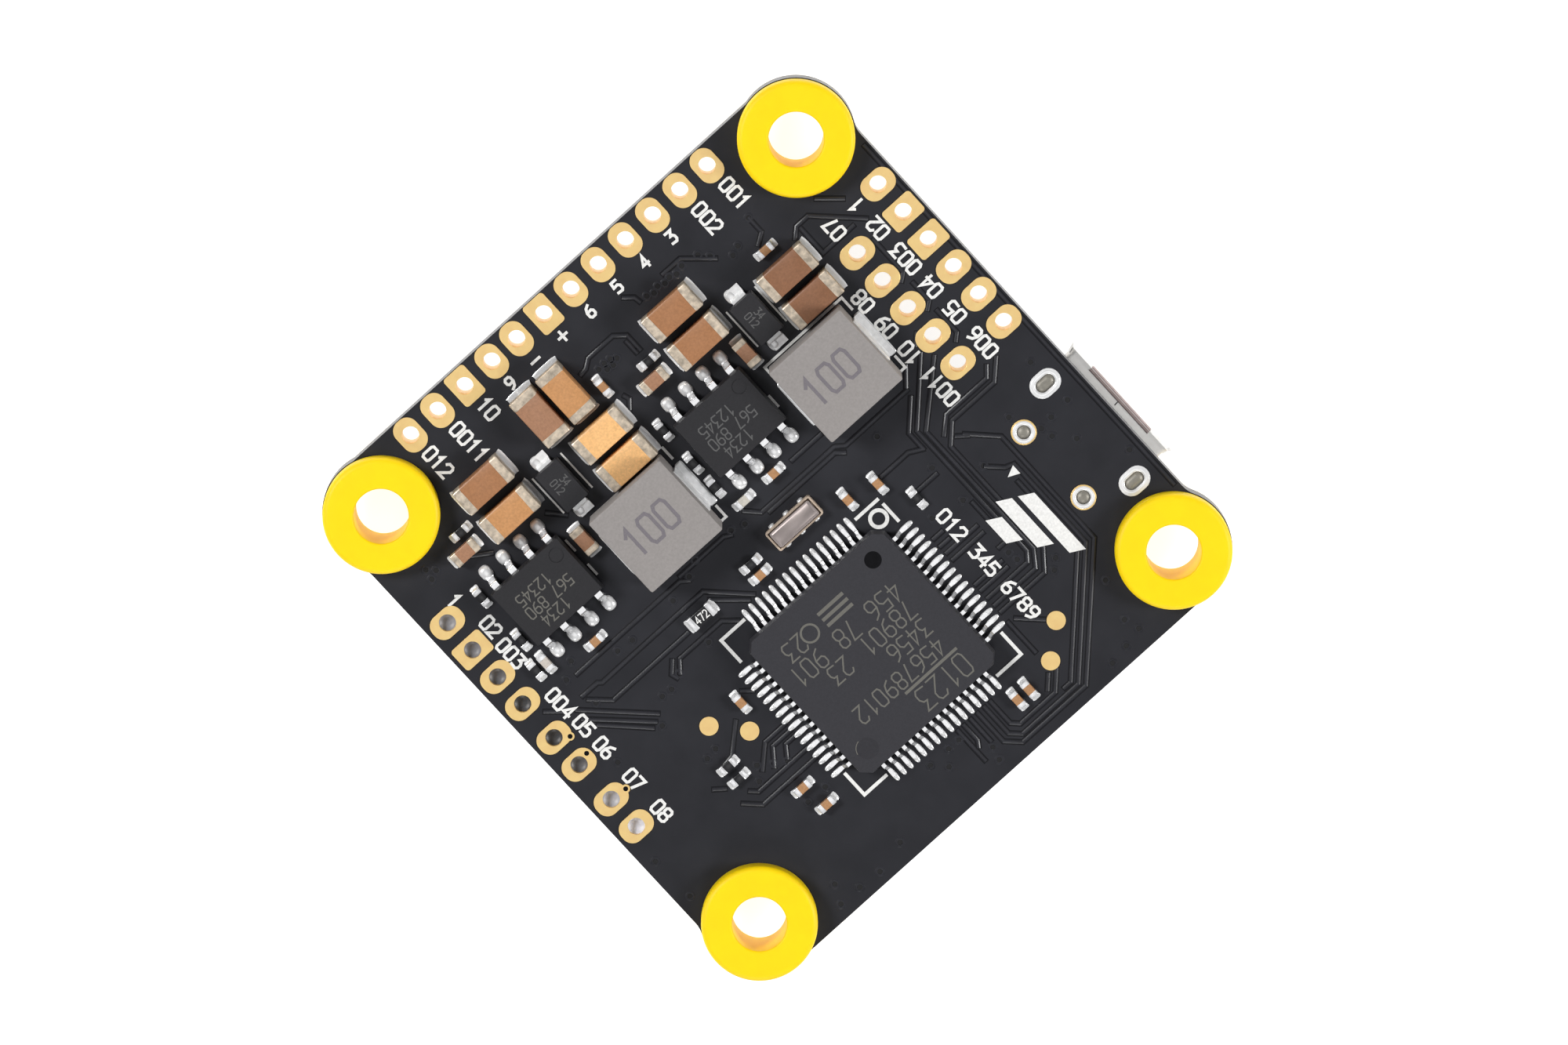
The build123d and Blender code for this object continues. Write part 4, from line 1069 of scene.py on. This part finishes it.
TOP_VIAS = [
    (-17.25, -9.0), (-17.15, -11.7), (-9.55, -8.8), (-10.05, -9.55), (-10.85, -16.55), (-11.35, -17.6),
    (-9.95, -17.6), (-8.55, -17.7), (-8.85, -12.2), (-7.6, -12.2), (-2.55, -15.2), (-1.2, -15.2),
    (-0.45, -15.2), (-1.85, -15.95), (0.65, -16.75), (0.45, -17.5), (-6.65, -17.25), (11.4, -14.05),
    (10.7, -16.35), (10.95, -17.25), (9.8, -17.5), (8.6, -17.7), (17.15, -9.6), (14.55, -6.2), (15.45, -7.2),
    (-5.25, 1.4), (-4.4, 1.85), (-1.85, 1.75), (-1.05, 1.5), (-13.15, 2.3), (-14.05, 1.7), (-9.25, -2.2),
    (-1.2, 13.1), (-0.75, 13.15), (-0.35, 13.1), (-0.85, 12.8), (-0.45, 12.75), (-0.05, 12.9), (3.45, 14.3),
    (3.85, 14.15), (4.25, 14.3), (4.65, 14.15), (5.05, 14.25), (5.45, 14.1), (5.95, 14.25), (7.0, 14.1),
    (7.45, 13.6), (10.4, 13.75), (8.95, 13.0), (8.4, 12.8), (7.5, 0.2), (-9.9, 0.9), (-10.9, 1.0),
    (-6.8, 1.0), (-15.6, 11.35), (-15.2, 10.95), (-15.7, 10.75), (-10.8, -2.5), (-10.15, -2.55),
    (10.7, -4.9), (8.6, -5.55), (8.5, -9.35), (8.6, -9.95), (9.7, -11.75), (10.2, -11.3), (14.4, -5.5),
    (15.2, -5.4), (16.5, -5.3), (16.4, -2.4), (13.5, -3.85), (6.7, -5.15), (8.55, -3.1), (-15.05, -3.55),
    (-8.8, -9.35), (-8.15, -9.75), (-10.6, -6.6), (-11.3, -6.7), (-11.9, -3.7), (-13.7, -0.3), (-6.9, -2.0),
]
UNDER_TRACKS = [
    [(-12.9, 16.3), (-12.1, 15.4), (-12.1, 9.6), (-11.2, 8.9)],
    [(-8.6, 8.2), (-4.2, 8.2), (-3.3, 9.1), (-3.3, 14.2), (-2.4, 15.1), (0.6, 15.1)],
    [(-8.6, 7.7), (-4.0, 7.7), (-2.2, 5.9), (-2.2, 2.4)],
    [(-1.2, 2.3), (-1.2, 6.4), (0.2, 7.8), (0.2, 8.6)],
    [(-0.4, 2.3), (-0.4, 6.1), (0.85, 7.35), (0.85, 8.6)],
    [(1.0, 2.3), (1.0, 5.2), (2.4, 6.6), (11.8, 6.6)], [(2.3, 0.9), (6.2, 0.9), (8.3, -1.2), (8.3, -4.2)],
    [(2.3, 0.3), (5.9, 0.3), (7.3, -1.1), (7.3, -5.9)],
    [(2.3, -0.8), (4.6, -0.8), (6.4, -2.6), (6.4, -8.4), (5.2, -9.6), (5.2, -13.6)],
    [(-2.3, 0.6), (-13.9, 0.6), (-15.4, 2.1)], [(-2.3, -0.2), (-13.4, -0.2), (-15.4, -2.2)],
    [(-2.3, -1.0), (-5.2, -1.0), (-6.6, -2.4)],
    *[[(a, -2.3), (a, y), (b, y - a + b), (b, -13.8)] for a, b, y in (
        (-1.3, -3.8, -9.2), (-0.6, -2.8, -9.6), (0.2, -1.6, -10.2), (1.0, -0.5, -11.0))],
    [(-12.7, -5.2), (-14.6, -7.1), (-14.6, -11.2)],
    [(-12.4, -7.9), (-13.6, -9.1), (-13.6, -11.4), (-11.6, -13.4), (-11.6, -16.2)],
    [(13.2, -4.7), (11.6, -4.7), (11.6, -3.1)], [(13.2, -10.2), (11.5, -11.9), (11.5, -14.4)],
    [(6.4, 15.4), (8.1, 13.7), (8.9, 13.7)], [(11.9, 11.4), (13.3, 11.4), (14.2, 10.5), (14.2, 7.4)],
]
UNDER_VIAS = [
    (-4.6, 3.4), (-5.8, 3.4), (-4.6, 4.6), (3.6, 3.2), (4.8, 3.2), (-8.9, 2.2), (-10.4, 2.2), (6.9, 2.6),
    (9.1, 1.4), (9.9, 3.2), (-15.1, -4.6), (-15.9, -9.8), (-5.6, -8.6), (-4.4, -7.2), (3.1, -4.4),
    (3.1, -6.2), (2.6, -12.2), (12.6, 1.8), (12.9, -12.4), (-6.8, -13.6), (-13.9, 6.8), (-14.8, 13.0),
    (5.6, 4.8), (0.4, 16.2), (8.2, 16.4), (-5.4, 16.6), (12.8, 14.4), (15.2, 5.3), (15.2, 9.4),
]


def relief(name, tracks, vias, level, up):
    """Tracks and via rings standing just proud of a face, under the mask; each via's mouth is a flat dark
    disc of painted shade.
    """
    lines, holes, gaps = Shape(), Shape(), Shape()
    low, high, rise = level - up * 0.01, level + up * TRACK_RISE, level + up * TRACK_RISE * 0.6
    track_wide, gap_wide = 0.25, 0.38
    for place, line in enumerate(tracks):
        ribbon(lines, line, track_wide, low, high, slope=0.085)
        # crossing gaps differ in height, so that no two faces lie in one plane
        ribbon(gaps, line, gap_wide, low, level + up * (0.003 + 0.0004 * (place % 9)), slope=0.02)
    gaps.finish(name + "_gaps", GAP, "solder_mask")
    for x, y in vias:
        revolve(lines, x, y, [(0.31, low), (0.22, rise), (0.16, rise), (0.13, low)], 20, closed=True)
        # Painted shade: the via's mouth is a flat near-black disc.
        disc(holes, x, y, 0.14, level - up * 0.005, level + up * 0.004, count=16)
    lines.finish(name + "_relief", TRACK, "solder_mask", smooth=20)
    holes.finish(name + "_via_mouths", VIA_SHADE, "solder_mask")


relief("top", TOP_TRACKS, TOP_VIAS, TOP, 1)
relief("underside", UNDER_TRACKS, UNDER_VIAS, BOTTOM, -1)


# ---- silk screen ----
SILK_RISE = 0.044
FRONT_NUMBERS = ["012", "0011", "10", "9", "-", "+", "6", "5", "4", "3", "002", "001"]
# (text, x, y) of the labels that run towards -Y, then of those that run towards +Y
DOWN_LABELS = [
    ("1", -15.6, 9.05), ("02", -15.1, 6.65), ("003", -15.28, 4.82), ("004", -15.15, 0.97),
    ("05", -15.05, -0.8), ("06", -15.05, -2.45), ("07", -15.05, -4.85), ("08", -15.1, -7.15),
]
UP_LABELS = [
    ("006", 15.2, 0.15), ("05", 15.2, 2.4), ("04", 15.2, 4.3), ("003", 15.2, 6.35), ("02", 15.2, 8.6),
    ("1", 15.2, 10.35), ("0011", 11.9, -0.05), ("10", 11.9, 2.4), ("09", 11.9, 4.3), ("08", 11.9, 6.2),
    ("07", 13.42, 10.15),
]


def top_silk():
    """Pad numbers, package corners, a slogan of figures, an arrow and plain bars, printed on the top."""
    shape = Shape()
    low, high = TOP - 0.004, TOP + SILK_RISE

    def text(content, x, y, height, turn, stretch=1.13):
        for place, line in enumerate(strokes(content, x, y, height, turn, stretch)):
            ribbon(shape, line, 0.155, low, high + (high - low) * 0.07 * (place % 3))

    def line(points, width=0.19):
        ribbon(shape, points, width, low, high)

    front = sorted(((a.x + b.x) / 2, a.y) for a, b in solids("front_pads"))
    for content, (x, pad_edge) in zip(FRONT_NUMBERS, front):
        if len(content) == 1:
            text(content, x - 0.05, pad_edge - 0.58, 0.68, 0)
        else:
            length = (len(content) - 1) * ADVANCE * 0.92 + 0.5
            text(content, x + 0.1, pad_edge - 0.22 - length / 2, 0.8, 3)
    for content, x, y in DOWN_LABELS:
        text(content, x, y, 0.78, 3)
    for content, x, y in UP_LABELS:
        text(content, x, y, 0.8, 1)
    text("012 345 6789", 7.25, -9.1, 0.75, 3, stretch=1.25)

    # the processor's corners and its first pin
    line([(-4.65, -2.38), (-6.33, -2.38), (-6.33, -3.95)])
    line([(3.6, -2.38), (5.2, -2.38)])
    line([(5.25, -2.8), (5.25, -4.0)])
    line([(-6.3, -12.4), (-6.3, -13.97), (-4.7, -13.97)])
    line([(5.25, -12.4), (5.25, -13.97), (3.5, -13.97)])
    line(circle(4.53, -3.2, 0.47), 0.21)

    for side in SIDES:
        near, far = span(f"inductor_{side}_body")
        edge_x, top_y, foot_y = far.x + 0.3, far.y + 0.12, near.y + 0.08
        if side == "right":
            start_x = near.x - 0.15
            line([(start_x, top_y - 1.0), (start_x, top_y), (edge_x, top_y), (edge_x, top_y - 0.85)], 0.15)
        else:
            line([(edge_x, top_y), (edge_x, top_y - 0.8)], 0.15)
        line([(edge_x, foot_y + 0.8), (edge_x, foot_y), (edge_x - 0.45, foot_y)], 0.15)
    for side in SIDES:
        near, far = span(f"diode_{side}_body")
        for x in (far.x + 0.22, near.x - 0.22):
            line([(x, far.y - 0.1), (x, near.y + 0.1)], 0.1)
    for x, start, stop in ((-8.86, 7.4, 6.65), (-8.86, 5.6, 4.9), (4.66, 5.8, 5.05)):
        line([(x, start), (x, stop)], 0.13)
    plate(shape, [(11.25, -6.25), (11.9, -6.55), (11.9, -5.95)], low, high)
    bar, slant = 0.8, 0.45
    for x, start, stop in ((8.75, -7.2, -8.9), (9.85, -6.8, -10.2), (10.95, -7.4, -11.6)):
        corners = [(x, start), (x + bar, start - slant), (x + bar, stop - slant), (x, stop)]
        plate(shape, corners, low, high)
    shape.finish("top_silk", SILK, "ceramic_white")


def under_silk():
    """Package corners, first pins and pad numbers on the underside."""
    shape = Shape()
    low, high = BOTTOM + 0.004, BOTTOM - SILK_RISE
    gap, reach = 0.35, 0.7
    for node in ("motion_sensor", "barometer_base", "flash_chip", "osd_chip_body"):
        near, far = span(node)
        if node != "osd_chip_body":
            for x, sx in ((near.x - gap, -1), (far.x + gap, 1)):
                for y, sy in ((near.y - gap, -1), (far.y + gap, 1)):
                    ribbon(shape, [(x - sx * reach, y), (x, y), (x, y - sy * reach)], 0.13, low, high)
        disc(shape, near.x - 0.45, far.y + 0.3, 0.16, low, high)
    texts = (("-0+", 0, -13.3, 0.9), ("1234", -12.3, -1.25, 0.8), ("567", 4.9, -7.4, 0.9))
    for content, x, y, height in texts:
        for stroke in strokes(content, 0, 0, height, 0):
            ribbon(shape, [(x - u, y + v) for u, v in stroke], 0.16, low, high)
    ribbon(shape, [(-6.1, -13.4), (-5.6, -12.9), (5.6, -12.9), (6.1, -13.4)], 0.14, low, high)
    shape.finish("underside_silk", SILK, "ceramic_white")


def pad_vias():
    """Vias that break the inner edges of three pads in the left column; their holes are flat discs of painted
    shade.
    """
    rings, holes = Shape(), Shape()
    level = span("left_pads")[1].z
    foot, crest = level - 0.04, level + 0.006
    for x, y in ((-16.0, -0.73), (-15.97, -2.03), (-15.72, -4.92)):
        revolve(rings, x, y, [(0.25, foot), (0.24, crest), (0.14, crest), (0.13, foot)], 20, closed=True)
        # Painted shade: each hole is a flat near-black disc.
        disc(holes, x, y, 0.14, level - 0.05, level + 0.003)
    rings.finish("left_pad_via_rings", GOLD, "gold_plate", smooth=50)
    holes.finish("left_pad_via_holes", SHADE_BLACK, "solder_mask", smooth=50)


top_silk()
under_silk()
pad_vias()


# ---- marks on the packages ----
MARK_RISE = 0.006


def mark_lines(name, node, finish, slot, rows, turn, width):
    """Numbers printed on a package: rows of (text, across, along, height) from its middle."""
    near, far = span(node)
    middle = (near + far) / 2
    up = facing(near)
    level = far.z if up > 0 else near.z
    if node.startswith("inductor"):
        level -= BLOCK_DROP
    shape = Shape()
    for content, x, y, height in rows:
        for stroke in strokes(content, 0, 0, height, turn):
            points = [(middle.x + x + up * u, middle.y + y + v) for u, v in stroke]
            ribbon(shape, points, width, level - up * MARK_RISE * 0.5, level + up * MARK_RISE)
    shape.finish(name, finish, slot)


def processor_marks():
    """Numbers, a ring and bars on the processor, its pin dimple as a disc of painted shade, and the mould's
    ejector disc with a painted highlight arc.
    """
    mark_lines("processor_mark", "mcu_body", LASER, "mould_black", [
        ("0123", 1.85, -3.78, 1.3), ("456789012", 0.1, -2.12, 1.0), ("3456", 1.98, -0.82, 1.0),
        ("78901", 1.58, 0.46, 1.05), ("23", -1.9, 0.46, 1.05), ("456", 2.4, 1.72, 1.1),
        ("78", -0.3, 1.72, 1.1), ("901", -3.05, 1.72, 1.1), ("23", -2.9, 3.05, 1.05),
    ], 2, 0.088)
    near, far = span("mcu_body")
    middle, level = (near + far) / 2, far.z

    def printed(shape, points, width):
        placed = [(middle.x + x, middle.y + y) for x, y in points]
        ribbon(shape, placed, width, level - 0.003, level + MARK_RISE)

    def dimple(name, x, y, radius, proud, count, finish):
        shape = Shape()
        disc(shape, middle.x + x, middle.y + y, radius, level - 0.05, level + proud, 0.02, count)
        shape.finish(name, finish, "mould_black")

    signs, painted_light_lip = Shape(), Shape()
    printed(signs, [(-0.1, -2.87), (3.55, -2.87)], 0.17)
    printed(signs, circle(-1.75, 3.1, 0.5), 0.12)
    for y in (2.75, 3.15, 3.55):
        printed(signs, [(-0.7, y), (1.0, y)], 0.2)
    signs.finish("processor_signs", LASER, "mould_black")
    # Painted shade: the pin dimple is a flat near-black disc standing for the shade in its hollow.
    dimple("processor_pin_mark", 3.5, 3.78, 0.5, 0.002, 28, SHADE_BLACK)
    dimple("processor_ejector_ring", -3.7, -3.72, 0.62, 0.003, 32, PRESSED_MOULD)
    # Painted highlight: a bright arc on the ejector disc's edge, where light would catch it.
    arc = [math.radians(102 + 6 * step) for step in range(12)]
    printed(painted_light_lip, [(-3.7 + 0.64 * math.cos(a), -3.72 + 0.64 * math.sin(a)) for a in arc], 0.045)
    painted_light_lip.finish("processor_ejector_painted_highlight", LASER, "mould_black")


processor_marks()
for side_name, faint in zip(SIDES, (LASER, FAINT)):
    mark_lines(f"converter_{side_name}_mark", f"converter_{side_name}_body", faint, "mould_black", [
        ("1234", -0.35, -1.1, 0.66), ("567 890", -0.05, -0.28, 0.66), ("12345", -0.45, 0.58, 0.66),
    ], 2, 0.075)
    mark_lines(f"diode_{side_name}_mark", f"diode_{side_name}_body", FAINT, "mould_black", [
        ("012", -0.22, 0.12, 0.42), ("34", 0.34, 0.12, 0.42),
    ], 3, 0.06)
    mark_lines(f"inductor_{side_name}_mark", f"inductor_{side_name}_body", LASER_DARK, "inductor_grey", [
        ("100", -0.25, 0.15, 1.62),
    ], 0, 0.2)
mark_lines("pull_up_mark", "pull_up_resistor", SILK, "ceramic_white", [("472", 0, 0, 0.42)], 0, 0.06)
mark_lines("osd_mark", "osd_chip_body", FAINT, "mould_black", [
    ("0123456", 0, 0.8, 0.9), ("789012", 0, -0.6, 0.9),
], 0, 0.09)
mark_lines("flash_mark", "flash_chip", FAINT, "mould_black", [
    ("34567", 0, 0.9, 0.8), ("890", 0, -0.5, 0.8),
], 0, 0.08)


bpy.context.view_layer.update()
